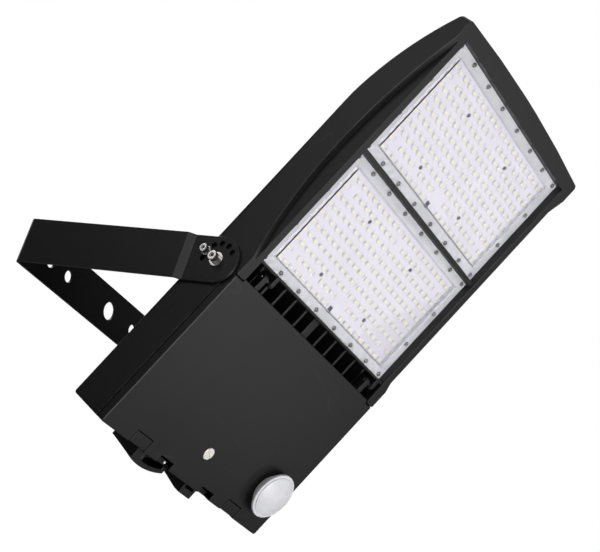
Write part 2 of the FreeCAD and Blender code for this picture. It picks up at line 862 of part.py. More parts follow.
def lug_start(side):
    """Where the lug beside that tongue begins, towards the right."""
    return tongue_start(side) + tongue_width + hinge_lug_gap


def hinge_pins():
    """Pins held in the housing's lugs, reaching through the door's tongues."""
    body = new_body("hinge_pins", several=True)
    length = pin_overhang + tongue_width + hinge_lug_gap + hinge_lug_width
    for name, side in (("left_pin", -1), ("right_pin", 1)):
        sketch = new_sketch(body, name, "YZ_Plane", tongue_start(side) - pin_overhang)
        pad(body, circle(sketch, hinge_depth, hinge_height, hinge_pin_radius), length)
    return keep_on_head(body)


def entry_grommet():
    """A rubber bush through the hood and the end wall, with a lip inside the box."""
    body = new_body("entry_grommet")
    outer = entry_radius - grommet_clear
    ring = new_sketch(body, "grommet_ring", "XY_Plane", -grommet_reach)
    circle(ring, -entry_across, entry_depth, outer)
    circle(ring, -entry_across, entry_depth, entry_radius - grommet_wall)
    pad(body, ring, grommet_reach + box_wall + grommet_lip)
    lip = new_sketch(body, "grommet_lip_ring", "XY_Plane", box_wall)
    circle(lip, -entry_across, entry_depth, entry_radius + grommet_lip)
    circle(lip, -entry_across, entry_depth, entry_radius - grommet_wall)
    pad(body, lip, grommet_lip)
    return keep_on_head(body)


# LED modules


def led_module(name, number):
    """One sealed LED module: frame gasket, LED board and clear lens plate."""
    low = lens_start + (module_length + module_bar) * number + lens_clear
    high = low + module_length - lens_clear * 2
    wide = rim_half_width - lens_clear
    inset = lens_flange_width
    side = lens_flange_side
    flange_front = tray_depth - lens_gasket_height - lens_flange

    gasket = new_body("lens_gasket_" + name)
    frame = new_sketch(gasket, "frame_" + name, "XZ_Plane", lens_gasket_height - tray_depth)
    rectangle(frame, -wide, wide, low, high)
    rectangle(frame, side - wide, wide - side, low + inset, high - inset)
    pad(gasket, frame, lens_gasket_height, reverse=True)
    keep_on_head(gasket)

    board = new_body("led_board_" + name)
    end = inset + board_margin
    flank = side + board_margin
    plate = new_sketch(board, "plate_" + name, "XZ_Plane", board_thickness - tray_depth)
    rectangle(plate, flank - wide, wide - flank, low + end, high - end)
    pad(board, plate, board_thickness, reverse=True)
    keep_on_head(board)

    lens = new_body("lens_" + name)
    flange = new_sketch(lens, "flange_" + name, "XZ_Plane", -flange_front)
    rectangle(flange, -wide, wide, low, high)
    pad(lens, flange, lens_flange, reverse=True)
    field = new_sketch(lens, "field_" + name, "XZ_Plane", -lens_front)
    rectangle(field, side - wide, wide - side, low + inset, high - inset)
    pad(lens, field, flange_front - lens_front + lens_flange, reverse=True)
    hollow = new_sketch(lens, "hollow_" + name, "XZ_Plane", -(lens_front + lens_skin))
    end = inset + lens_skin
    flank = side + lens_skin
    rectangle(hollow, flank - wide, wide - flank, low + end, high - end)
    pocket(lens, hollow, tray_depth)
    keep_on_head(lens)


# Door


def door():
    """The hinged door: a shallow pan with hinge tongues, end notches and a screw boss."""
    body = new_body("door")
    half = door_half_width
    ear = box_length - door_ear_gap
    rim = rim_half_width - door_margin
    bend = door_inner_corner
    plan = [
        (arm_end_corner - half, 0),
        (half - arm_end_corner, 0, arm_end_corner),
        (half, arm_end_corner),
        (half, ear),
        (rim + bend, ear, -bend),
        (rim, ear + bend),
        (rim, door_length),
        (-rim, door_length),
        (-rim, ear + bend, -bend),
        (-rim - bend, ear),
        (-half, ear),
        (-half, arm_end_corner, arm_end_corner),
    ]
    pad(body, loop(new_sketch(body, "door_plan", "XZ_Plane"), plan), door_rim, reverse=True)
    round_edges(body, "door_front_edges", door_edge_round, lambda edge: flat_at(edge, "y", 0))
    pan = new_sketch(body, "door_pan", "XZ_Plane", -door_skin)
    rectangle(pan, door_wall - half, half - door_wall, door_wall, ear - door_wall)
    pocket(body, pan, door_rim)

    end_cuts = ((lug_inner, lug_outer, lug_height), (notch_inner, notch_outer, notch_height))
    ends = new_sketch(body, "end_notches", "XZ_Plane")
    for inner, outer, height in end_cuts:
        rectangle(ends, inner, outer, -past, height)
        rectangle(ends, -outer, -inner, -past, height)
    pocket(body, ends, door_rim + past)

    boss = new_sketch(body, "screw_boss", "XZ_Plane", -(door_skin / 2))
    circle(boss, 0, screw_height, screw_boss_radius + door_wall)
    pad(body, boss, door_rim - door_skin / 2, reverse=True)
    recess = new_sketch(body, "screw_recess_cut", "XZ_Plane")
    circle(recess, 0, screw_height, screw_head_radius + screw_recess_clear)
    pocket(body, recess, screw_recess)
    bore = new_sketch(body, "screw_bore", "XZ_Plane")
    circle(bore, 0, screw_height, screw_shank_radius + hinge_run)
    circle(bore, sensor_across, sensor_height, sensor_stem_radius + sensor_stem_clear)
    pocket(body, bore, door_rim)

    for name, side in (("left_tongue", -1), ("right_tongue", 1)):
        tongue = new_sketch(body, name, "YZ_Plane", tongue_start(side))
        profile = [
            (door_edge_round, door_length - door_wall),
            (hinge_depth + knuckle_radius, door_length - door_wall),
            (hinge_depth + knuckle_radius, hinge_height, knuckle_radius),
            (hinge_depth, hinge_height + knuckle_radius, knuckle_radius),
            (hinge_depth - knuckle_radius, hinge_height),
        ]
        pad(body, loop(tongue, profile), tongue_width)
        hole = new_sketch(body, name + "_hole", "YZ_Plane", tongue_start(side))
        circle(hole, hinge_depth, hinge_height, hinge_pin_radius + hinge_run)
        pocket(body, hole, tongue_width, reverse=True)
    return keep_on_head(body)


def door_gasket():
    """A sponge frame inside the door's wall that presses on the driver box."""
    body = new_body("door_gasket")
    outer = door_half_width - door_wall - gasket_clear
    inner = outer - gasket_width
    low = lug_height + gasket_clear
    top = box_length - door_ear_gap - door_wall - gasket_clear
    ring = new_sketch(body, "gasket_ring", "XZ_Plane", -door_skin)
    rectangle(ring, -outer, outer, low, top)
    rectangle(ring, -inner, inner, low + gasket_width, top - gasket_width)
    pad(body, ring, seam_depth - door_skin - gasket_clear, reverse=True)
    return keep_on_head(body)


def door_screw():
    """The captive slotted screw at the free end of the door."""
    body = new_body("door_screw")
    head = new_sketch(body, "screw_head", "XZ_Plane", screw_head_height - screw_recess)
    pad(body, circle(head, 0, screw_height, screw_head_radius), screw_head_height, reverse=True)
    shank = new_sketch(body, "screw_shank", "XZ_Plane", -screw_recess)
    pad(body, circle(shank, 0, screw_height, screw_shank_radius), screw_shank_length, reverse=True)
    slot = new_sketch(body, "screw_slot_cut", "XZ_Plane", screw_head_height - screw_recess)
    turn = math.radians(screw_slot_turn)
    long_across = (screw_head_radius + past) * math.cos(turn)
    long_down = (screw_head_radius + past) * math.sin(turn)
    short_across = screw_slot / 2 * math.sin(turn)
    short_up = screw_slot / 2 * math.cos(turn)
    loop(slot, [
        (-long_across - short_across, screw_height + long_down - short_up),
        (long_across - short_across, screw_height - long_down - short_up),
        (long_across + short_across, screw_height - long_down + short_up),
        (-long_across + short_across, screw_height + long_down + short_up),
    ])
    pocket(body, slot, screw_head_height / 2)
    return keep_on_head(body)


def motion_sensor():
    """The round motion sensor on the door: neck with stem, seal, domed cap and inner nut."""
    centre = (sensor_across, sensor_height)
    seal = new_body("sensor_seal")
    ring = new_sketch(seal, "seal_ring", "XZ_Plane")
    circle(ring, *centre, sensor_neck_radius)
    circle(ring, *centre, sensor_stem_radius + sensor_stem_clear)
    pad(seal, ring, sensor_seal)
    keep_on_head(seal)

    neck = new_body("sensor_neck")
    stem = new_sketch(neck, "stem", "XZ_Plane", sensor_seal)
    pad(neck, circle(stem, *centre, sensor_stem_radius), sensor_seal + sensor_stem_length, reverse=True)
    collar = new_sketch(neck, "collar", "XZ_Plane", sensor_seal)
    pad(neck, circle(collar, *centre, sensor_neck_radius), sensor_neck_height)
    keep_on_head(neck)

    cap = new_body("sensor_cap")
    front = sensor_seal + sensor_neck_height
    rim = new_sketch(cap, "cap_rim", "XZ_Plane", front)
    pad(cap, circle(rim, *centre, sensor_cap_radius), sensor_cap_rim)
    rise = sensor_cap_rise
    bulge = (sensor_cap_radius * sensor_cap_radius + rise * rise) / (rise * 2)
    dome = new_sketch(cap, "cap_dome", "YZ_Plane", sensor_across)
    base = -(front + sensor_cap_rim)
    loop(dome, [
        (base, sensor_height),
        (base, sensor_height + sensor_cap_radius, bulge),
        (base - rise, sensor_height),
    ])
    turned = cap.newObject("PartDesign::Revolution", "cap_dome_turned")
    turned.Profile = dome
    turned.ReferenceAxis = (dome, ["Edge3"])
    turned.Angle = 360
    cap.Tip = turned
    doc.recompute()
    keep_on_head(cap)

    nut = new_body("sensor_nut")
    corners = []
    for number in range(6):
        turn = math.radians(60 * number)
        corners.append((sensor_across + sensor_nut_radius * math.cos(turn),
                        sensor_height + sensor_nut_radius * math.sin(turn)))
    hexagon = new_sketch(nut, "nut_plan", "XZ_Plane", -door_skin)
    loop(hexagon, corners)
    circle(hexagon, *centre, sensor_stem_radius + thread_clear)
    pad(nut, hexagon, sensor_nut_height, reverse=True)
    keep_on_head(nut)


# Inside the driver box


def driver(label, side):
    """An LED driver in a flanged case on the back wall of the box."""
    body = new_body(label)
    floor = head_depth - box_back
    top = driver_top
    middle = driver_across * side
    left = middle - driver_length / 2
    right = middle + driver_length / 2
    case = new_sketch(body, label + "_case", "XZ_Plane", driver_height - floor)
    rectangle(case, left + driver_tab, right - driver_tab, top - driver_width, top)
    pad(body, case, driver_height, reverse=True)
    tabs = new_sketch(body, label + "_tabs", "XZ_Plane", driver_tab_thickness - floor)
    quarter = driver_width / 4
    rectangle(tabs, left, right, top - driver_width + quarter, top - quarter)
    pad(body, tabs, driver_tab_thickness, reverse=True)
    return keep_on_head(body)


def terminal_block():
    """A three-way terminal block with wire funnels."""
    body = new_body("terminal_block")
    floor = head_depth - box_back
    left = terminal_across - terminal_length / 2
    base = new_sketch(body, "terminal_base", "XZ_Plane", terminal_height - floor)
    rectangle(base, left, left + terminal_length, terminal_place, terminal_place + terminal_width)
    pad(body, base, terminal_height, reverse=True)
    ways = 3
    funnels = new_sketch(body, "terminal_funnels", "XZ_Plane", terminal_height - floor)
    for number in range(ways):
        across = left + terminal_length * ((number + 0.5) / ways)
        circle(funnels, across, terminal_place + terminal_width / 2, terminal_width / 5)
    pocket(body, funnels, terminal_height / 2)
    return keep_on_head(body)


def surge_module():
    """A potted surge protector on the back wall."""
    body = new_body("surge_module")
    floor = head_depth - box_back
    left = surge_across - surge_length / 2
    case = new_sketch(body, "surge_case", "XZ_Plane", surge_thickness - floor)
    rectangle(case, left, left + surge_length, terminal_place, terminal_place + surge_width)
    pad(body, case, surge_thickness, reverse=True)
    round_edges(body, "surge_edges", surge_thickness / 8,
                lambda edge: flat_at(edge, "y", floor.value - surge_thickness.value))
    return keep_on_head(body)


def earth_stud():
    """The earth screw on the back wall."""
    body = new_body("earth_stud")
    floor = head_depth - box_back
    stud = new_sketch(body, "earth_head", "XZ_Plane", earth_height - floor)
    circle(stud, earth_across, earth_place, earth_radius)
    pad(body, stud, earth_height, reverse=True)
    slot = new_sketch(body, "earth_slot", "XZ_Plane", earth_height - floor)
    wide = earth_radius + past
    rectangle(slot, earth_across - wide, earth_across + wide,
              earth_place - screw_slot / 2, earth_place + screw_slot / 2)
    pocket(body, slot, earth_height / 3)
    return keep_on_head(body)


def check_and_write():
    """Stop on any failed object, then write one file per sub-part."""
    doc.recompute()
    for item in doc.Objects:
        if "Invalid" in item.State or "Error" in item.State:
            raise RuntimeError("failed object " + item.Name)
    os.makedirs("parts", exist_ok=True)
    for item in sub_parts:
        if item.Shape.isNull() or not item.Shape.isValid():
            raise RuntimeError("bad shape " + item.Label)
        item.Shape.exportStep("parts/%s.step" % item.Label)
        print(item.Label, len(item.Shape.Solids), round(item.Shape.Volume / 1000, 2), "cm3")


bracket()
index_hardware()
housing()
pivot_hardware()
hinge_pins()
entry_grommet()
led_module("near", 0)
led_module("tip", 1)
driver("driver_left", -1)
driver("driver_right", 1)
terminal_block()
surge_module()
earth_stud()
door()
door_gasket()
motion_sensor()
door_screw()
check_and_write()
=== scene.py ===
"""Studio scene for the LED flood light.

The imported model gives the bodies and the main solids.  This script dresses every solid with a
procedural finish, models finer pieces in place of some of them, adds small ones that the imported
model leaves out, and sets the studio.
"""
import json
import logging
import math
from contextlib import contextmanager
from dataclasses import dataclass
from enum import Enum
from typing import Callable, Iterator, Optional, Sequence

import bpy
from mathutils import Matrix, Quaternion, Vector


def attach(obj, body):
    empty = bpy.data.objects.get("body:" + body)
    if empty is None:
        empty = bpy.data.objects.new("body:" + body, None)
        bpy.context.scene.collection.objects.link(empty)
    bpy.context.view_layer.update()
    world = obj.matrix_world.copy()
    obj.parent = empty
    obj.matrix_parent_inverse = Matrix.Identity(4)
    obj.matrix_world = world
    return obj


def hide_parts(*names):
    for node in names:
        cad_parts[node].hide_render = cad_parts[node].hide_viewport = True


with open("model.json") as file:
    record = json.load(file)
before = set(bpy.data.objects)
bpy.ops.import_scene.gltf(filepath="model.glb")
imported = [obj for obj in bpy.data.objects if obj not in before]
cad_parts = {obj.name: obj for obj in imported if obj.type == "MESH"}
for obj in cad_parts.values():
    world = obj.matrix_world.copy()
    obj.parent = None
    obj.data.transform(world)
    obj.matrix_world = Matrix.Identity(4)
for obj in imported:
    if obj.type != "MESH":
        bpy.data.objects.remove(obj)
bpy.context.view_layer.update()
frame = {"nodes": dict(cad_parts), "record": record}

LOG = logging.getLogger("flood_light")
MILLIMETRE = 0.001
WHITE = (1.0, 1.0, 1.0, 1.0)

Point = tuple[float, float, float]
Colour = tuple[float, float, float, float]
Profile = Sequence[tuple[float, float]]
Test = Callable[[Vector, Vector], bool]
Piece = bpy.types.Object
Material = bpy.types.Material
Tree = bpy.types.ShaderNodeTree
Node = bpy.types.Node
Socket = bpy.types.NodeSocket


class Body(str, Enum):
    """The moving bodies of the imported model."""

    YOKE = "yoke"
    HEAD = "head"
    DOOR = "door"
    SCREW = "screw"


class Slot(str, Enum):
    """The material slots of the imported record."""

    BRACKET = "bracket_black"
    CAST = "cast_black"
    DOOR = "door_black"
    STEEL = "bolt_steel"
    RUBBER = "seal_rubber"
    LENS_SEAL = "lens_seal"
    BOARD = "board_white"
    LENS = "lens_clear"
    DRIVER = "driver_case"
    NYLON = "terminal_white"
    SURGE = "surge_case"
    SENSOR = "sensor_white"


class Extra(str, Enum):
    """Further finishes, for pieces and faces that share a slot with others."""

    FROSTED = "frosted_flange"
    PHOSPHOR = "led_phosphor"
    CUP = "led_cup"
    PLATED = "plated_screw"
    DULL_SCREW = "dull_screw"
    # Dark screw tone that is painted shade, standing for the dark of the board screws' recesses.
    DARK_SCREW = "dark_screw"
    PLUG = "black_plug"


class Pick(str, Enum):
    """What an edit selects."""

    FACES = "FACE"
    POINTS = "VERT"


class Facing(Enum):
    """Directions in which a turned piece can point, in head or bracket coordinates."""

    RIGHT = (1.0, 0.0, 0.0)
    LEFT = (-1.0, 0.0, 0.0)
    FRONT = (0.0, -1.0, 0.0)


# Placement


@dataclass(frozen=True)
class HeadPlace:
    """Where the lamp head sits at rest.

    Head coordinates are millimetres: x across, y deep from the front face, z along from the driver box end.
    """

    arm_reach: float = 243.5
    pivot_depth: float = 29.3
    pivot_height: float = 188.8
    tilt_degrees: float = 29.3

    def matrix(self) -> Matrix:
        """Work out the head's place.

        Returns:
            The matrix from head millimetres to metres in the shared frame.
        """
        out = Matrix.Translation((0.0, -self.arm_reach * MILLIMETRE, 0.0))
        turn = Matrix.Rotation(math.radians(self.tilt_degrees), 4, "X")
        scale = Matrix.Scale(MILLIMETRE, 4)
        back = Matrix.Translation((0.0, -self.pivot_depth, -self.pivot_height))
        return out @ turn @ scale @ back


HEAD_PLACE = HeadPlace()
HEAD_MATRIX = HEAD_PLACE.matrix()
BRACKET_MATRIX = Matrix.Scale(MILLIMETRE, 4)
SHARED_MATRIX = Matrix.Identity(4)


def faces_front(middle: Vector, normal: Vector) -> bool:
    """Whether a face of a level block in the head points to the front."""
    return normal.y < -0.5


# Mesh tools


class Bench:
    """Modelling steps on one active object; new pieces are modelled in millimetres."""

    LATHE_MERGE = 0.005
    REPEAT_MERGE = 0.01
    ROUND_SEGMENTS = 2
    ROUND_DEGREES = 30.0
    SMOOTH_DEGREES = 35.0
    LARGE_FACE_WEIGHT = 100

    @staticmethod
    def only(piece: Piece) -> None:
        """Select one object and make it active.

        Args:
            piece: The object.
        """
        bpy.ops.object.select_all(action="DESELECT")
        piece.select_set(True)
        bpy.context.view_layer.objects.active = piece

    @staticmethod
    def named(name: str) -> Piece:
        """Name the object that was just added, and keep its place in its mesh.

        Args:
            name: The name of the object and of its mesh.

        Returns:
            The object, at the origin.
        """
        piece = bpy.context.active_object
        piece.name = name
        piece.data.name = name
        Bench.only(piece)
        bpy.ops.object.transform_apply(location=True, rotation=True, scale=True)
        return piece

    @staticmethod
    def block(name: str, low: Point, high: Point) -> Piece:
        """Add a block between two corners.

        Args:
            name: The object's name.
            low: The lowest corner.
            high: The highest corner.

        Returns:
            The new object.
        """
        bpy.ops.object.select_all(action="DESELECT")
        centre = [(a + b) / 2 for a, b in zip(low, high)]
        bpy.ops.mesh.primitive_cube_add(size=1.0, location=centre)
        bpy.context.active_object.scale = [b - a for a, b in zip(low, high)]
        return Bench.named(name)

    @staticmethod
    def lathe(name: str, profile: Profile, steps: int) -> Piece:
        """Turn a profile about the Z axis.

        Args:
            name: The object's name.
            profile: Points as (radius, height), in order along the outline.
            steps: How many flat sides stand for the round.

        Returns:
            The new object, closed and with its faces outwards.
        """
        bpy.ops.object.select_all(action="DESELECT")
        bpy.ops.mesh.primitive_plane_add(size=1.0)
        piece = Bench.named(name)
        bpy.ops.object.mode_set(mode="EDIT")
        bpy.ops.mesh.select_mode(type="VERT")
        bpy.ops.mesh.select_all(action="SELECT")
        bpy.ops.mesh.merge(type="CENTER")
        bpy.ops.transform.translate(value=(profile[0][0], 0.0, profile[0][1]))
        for (radius, height), (next_radius, next_height) in zip(profile, profile[1:]):
            move = (next_radius - radius, 0.0, next_height - height)
            bpy.ops.mesh.extrude_region_move(TRANSFORM_OT_translate={"value": move})
        bpy.ops.mesh.select_all(action="SELECT")
        bpy.ops.mesh.spin(steps=steps, angle=math.tau, center=(0.0, 0.0, 0.0), axis=(0.0, 0.0, 1.0))
        bpy.ops.mesh.select_all(action="SELECT")
        bpy.ops.mesh.remove_doubles(threshold=Bench.LATHE_MERGE)
        bpy.ops.mesh.normals_make_consistent(inside=False)
        bpy.ops.object.mode_set(mode="OBJECT")
        return piece

    @staticmethod
    @contextmanager
    def edit(piece: Piece, test: Optional[Test] = None, pick: Pick = Pick.FACES) -> Iterator[None]:
        """Edit mode on one object, with what passes a test selected.

        Args:
            piece: The object to edit.
            test: Takes a place and a normal; everything is selected without it.
            pick: Whether the test is put to faces or to points.

        Yields:
            Nothing; the block runs in edit mode.
        """
        Bench.only(piece)
        bpy.ops.object.mode_set(mode="EDIT")
        bpy.ops.mesh.select_mode(type=pick.value)
        bpy.ops.mesh.select_all(action="SELECT" if test is None else "DESELECT")
        bpy.ops.object.mode_set(mode="OBJECT")
        if test is not None and pick is Pick.FACES:
            for face in piece.data.polygons:
                face.select = test(face.center, face.normal)
        if test is not None and pick is Pick.POINTS:
            for point in piece.data.vertices:
                point.select = test(point.co, point.normal)
        bpy.ops.object.mode_set(mode="EDIT")
        yield
        bpy.ops.object.mode_set(mode="OBJECT")

    @staticmethod
    def pick_rims() -> None:
        """Select the open rims of the mesh in edit mode."""
        bpy.ops.mesh.select_all(action="DESELECT")
        bpy.ops.mesh.select_non_manifold(extend=False, use_wire=False, use_boundary=True,
                                         use_multi_face=False, use_non_contiguous=False, use_verts=False)

    @staticmethod
    def soften(piece: Piece, width: float) -> None:
        """Round the sharp edges of a piece.

        Args:
            piece: The piece.
            width: The width of the rounding, in the mesh's own unit.
        """
        Bench.only(piece)
        bevel = piece.modifiers.new("soften", "BEVEL")
        bevel.width = width
        bevel.segments = Bench.ROUND_SEGMENTS
        bevel.limit_method = "ANGLE"
        bevel.angle_limit = math.radians(Bench.ROUND_DEGREES)
        bevel.use_clamp_overlap = False
        bpy.ops.object.modifier_apply(modifier=bevel.name)

    @staticmethod
    def repeat(piece: Piece, step: Point, count: int, merge: bool = False) -> None:
        """Copy a piece along a step.

        Args:
            piece: The piece, which gets the copies in its mesh.
            step: From one copy to the next.
            count: How many there are in the end.
            merge: Whether touching points become one.
        """
        Bench.only(piece)
        array = piece.modifiers.new("repeat", "ARRAY")
        array.use_relative_offset = False
        array.use_constant_offset = True
        array.constant_offset_displace = step
        array.count = count
        array.use_merge_vertices = merge
        array.merge_threshold = Bench.REPEAT_MERGE
        bpy.ops.object.modifier_apply(modifier=array.name)

    @staticmethod
    def carve(piece: Piece, tool: Piece) -> None:
        """Cut one piece with another.

        Args:
            piece: The piece to cut.
            tool: The piece to cut with, which is used up.
        """
        Bench.only(piece)
        cut = piece.modifiers.new("carve", "BOOLEAN")
        cut.operation = "DIFFERENCE"
        cut.solver = "EXACT"
        cut.object = tool
        bpy.ops.object.modifier_apply(modifier=cut.name)
        Bench.only(tool)
        bpy.ops.object.delete()
        Bench.only(piece)

    @staticmethod
    def copy(piece: Piece, name: str) -> Piece:
        """Copy a piece.

        Args:
            piece: The piece to copy.
            name: The copy's name.

        Returns:
            The copy, with its own mesh.
        """
        Bench.only(piece)
        bpy.ops.object.duplicate(linked=False)
        twin = bpy.context.active_object
        twin.name = name
        twin.data.name = name
        return twin

    @staticmethod
    def stand(piece: Piece, place: Point, facing: Facing, spin: float = 0.0) -> None:
        """Put a turned piece at a place.

        Args:
            piece: The piece, with its axis along Z.
            place: Where its origin goes.
            facing: Where its axis then points.
            spin: Degrees by which it is turned about its axis first.
        """
        Bench.only(piece)
        turn = Vector((0.0, 0.0, 1.0)).rotation_difference(Vector(facing.value)).to_matrix().to_4x4()
        own = Matrix.Rotation(math.radians(spin), 4, "Z")
        piece.matrix_world = Matrix.Translation(place) @ turn @ own
        bpy.ops.object.transform_apply(location=True, rotation=True, scale=True)

    @staticmethod
    def scatter(piece: Piece, name: str, places: Sequence[Point], spins: Sequence[float]) -> Piece:
        """Copy a turned piece to many places, facing the front, and join the copies.

        Args:
            piece: The piece to copy, which is used as the last copy.
            name: The name of the joined piece.
            places: Where each copy sits.
            spins: Turns in degrees, taken in order and again from the start.

        Returns:
            The joined piece.
        """
        copies = [Bench.copy(piece, name) for _ in places[1:]] + [piece]
        for number, (twin, place) in enumerate(zip(copies, places)):
            Bench.stand(twin, place, Facing.FRONT, spins[number % len(spins)])
        return Bench.join(name, copies)

    @staticmethod
    def join(name: str, parts: Sequence[Piece]) -> Piece:
        """Join pieces into one object.

        Args:
            name: The name of the joined piece.
            parts: The pieces, of which the first takes in the others.

        Returns:
            The joined piece.
        """
        bpy.ops.object.select_all(action="DESELECT")
        for part in parts:
            part.select_set(True)
        bpy.context.view_layer.objects.active = parts[0]
        if len(parts) > 1:
            bpy.ops.object.join()
        whole = bpy.context.active_object
        whole.name = name
        whole.data.name = name
        return whole

    @staticmethod
    def hand_over(piece: Piece, place: Matrix, body: Body, degrees: float = SMOOTH_DEGREES) -> Piece:
        """Shade a modelled piece, put it in the shared frame, and let it ride its body.

        Args:
            piece: The piece as modelled.
            place: From the piece's own unit and place to the shared frame.
            body: The body that carries it.
            degrees: Edges sharper than this stay sharp in the shading.

        Returns:
            The same piece, finished.
        """
        Bench.only(piece)
        bpy.ops.object.shade_smooth_by_angle(angle=math.radians(degrees))
        weigh = piece.modifiers.new("even", "WEIGHTED_NORMAL")
        weigh.keep_sharp = True
        weigh.weight = Bench.LARGE_FACE_WEIGHT
        bpy.ops.object.modifier_apply(modifier=weigh.name)
        piece.matrix_world = place
        bpy.ops.object.transform_apply(location=True, rotation=True, scale=True)
        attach(piece, body.value)
        return piece


# Shader groups


class Groups:
    """Shader node groups that more than one finish uses."""

    FINE_NOISE = (3.0, 0.62)
    SLOW_NOISE = (4.0, 0.5)
    RUB_HIGHLIGHT_NOISE = (3.0, 0.5)
    # The edge mask: partly rubbed wear, partly a painted highlight of edges catching light.
    RUB_HIGHLIGHT_RADIUS = 1.2 * MILLIMETRE
    RUB_HIGHLIGHT_SAMPLES = 4
    RUB_HIGHLIGHT_RANGE = (0.995, 0.80)
    SCRATCH_NOISE = (1.5, 0.4)
    SCRATCH_TURN = (0.5, 0.4, 0.9)
    SCRATCH_STRETCH = (1.0, 5.5, 2.0)
    SCRATCH_LEVEL = 0.53
    SCRATCH_WIDTH = 0.0024
    PATCH_NOISE = (2.0, 0.5)
    PATCH_SCALE = 16.0
    PATCH_RANGE = (0.56, 0.68)
    SPECK_RANGE = (0.10, 0.05)

    @staticmethod
    def _new(name: str, scales: dict[str, float], outputs: Sequence[str]) -> tuple[Tree, Node, Node]:
        """Make an empty group that reads a vector and some scales.

        Args:
            name: The group's name.
            scales: The number inputs with their usual values.
            outputs: The number outputs.

        Returns:
            The group, its input node and its output node.
        """
        tree = bpy.data.node_groups.new(name, "ShaderNodeTree")
        tree.interface.new_socket("Vector", in_out="INPUT", socket_type="NodeSocketVector")
        for label, value in scales.items():
            socket = tree.interface.new_socket(label, in_out="INPUT", socket_type="NodeSocketFloat")
            socket.default_value = value
        for label in outputs:
            tree.interface.new_socket(label, in_out="OUTPUT", socket_type="NodeSocketFloat")
        return tree, tree.nodes.new("NodeGroupInput"), tree.nodes.new("NodeGroupOutput")

    @staticmethod
    def _noise(tree: Tree, kind: tuple[float, float], vector: Socket, scale: Optional[Socket] = None) -> Node:
        """Add a noise.

        Args:
            tree: The group.
            kind: The noise's detail and roughness.
            vector: The place that it reads.
            scale: The scale that it reads, if that is an input of the group.

        Returns:
            The noise node.
        """
        node = tree.nodes.new("ShaderNodeTexNoise")
        node.inputs["Detail"].default_value, node.inputs["Roughness"].default_value = kind
        tree.links.new(vector, node.inputs["Vector"])
        if scale is not None:
            tree.links.new(scale, node.inputs["Scale"])
        return node

    @staticmethod
    def _range(tree: Tree, value: Socket, limits: tuple[float, float]) -> Socket:
        """Spread a value so that a range becomes nought to one.

        Args:
            tree: The group.
            value: The value.
            limits: What becomes nought and what becomes one.

        Returns:
            The spread value.
        """
        node = tree.nodes.new("ShaderNodeMapRange")
        node.inputs["From Min"].default_value, node.inputs["From Max"].default_value = limits
        tree.links.new(value, node.inputs["Value"])
        return node.outputs["Result"]

    @staticmethod
    def _times(tree: Tree, left: Socket, right: Socket) -> Socket:
        """Multiply two values.

        Args:
            tree: The group.
            left: One value.
            right: The other value.

        Returns:
            Their product.
        """
        node = tree.nodes.new("ShaderNodeMath")
        node.operation = "MULTIPLY"
        tree.links.new(left, node.inputs[0])
        tree.links.new(right, node.inputs[1])
        return node.outputs["Value"]

    @staticmethod
    def grain() -> Tree:
        """Coating grain: a fine height and a slow blotch of tone.

        Returns:
            The group, built at the first call.
        """
        name = "coating_grain"
        if name in bpy.data.node_groups:
            return bpy.data.node_groups[name]
        tree, given, out = Groups._new(name, {"Scale": 900.0, "Blotch Scale": 9.0}, ("Height", "Blotch"))
        vector = given.outputs["Vector"]
        fine = Groups._noise(tree, Groups.FINE_NOISE, vector, given.outputs["Scale"])
        slow = Groups._noise(tree, Groups.SLOW_NOISE, vector, given.outputs["Blotch Scale"])
        tree.links.new(fine.outputs["Fac"], out.inputs["Height"])
        tree.links.new(slow.outputs["Fac"], out.inputs["Blotch"])
        return tree

    @staticmethod
    def edge() -> Tree:
        """A mask of the outer edges, where a coating is thin and rubbed, and where its paler tone is also a
        painted highlight of edges catching light.

        Returns:
            The group, built at the first call.
        """
        name = "edge_rub"
        if name in bpy.data.node_groups:
            return bpy.data.node_groups[name]
        tree, given, out = Groups._new(name, {"Breakup": 60.0}, ("Mask",))
        rounded = tree.nodes.new("ShaderNodeBevel")
        rounded.samples = Groups.RUB_HIGHLIGHT_SAMPLES
        rounded.inputs["Radius"].default_value = Groups.RUB_HIGHLIGHT_RADIUS
        flat = tree.nodes.new("ShaderNodeNewGeometry")
        match = tree.nodes.new("ShaderNodeVectorMath")
        match.operation = "DOT_PRODUCT"
        tree.links.new(rounded.outputs["Normal"], match.inputs[0])
        tree.links.new(flat.outputs["Normal"], match.inputs[1])
        near_edge = Groups._range(tree, match.outputs["Value"], Groups.RUB_HIGHLIGHT_RANGE)
        noise = Groups._noise(tree, Groups.RUB_HIGHLIGHT_NOISE, given.outputs["Vector"], given.outputs["Breakup"])
        tree.links.new(Groups._times(tree, near_edge, noise.outputs["Fac"]), out.inputs["Mask"])
        return tree

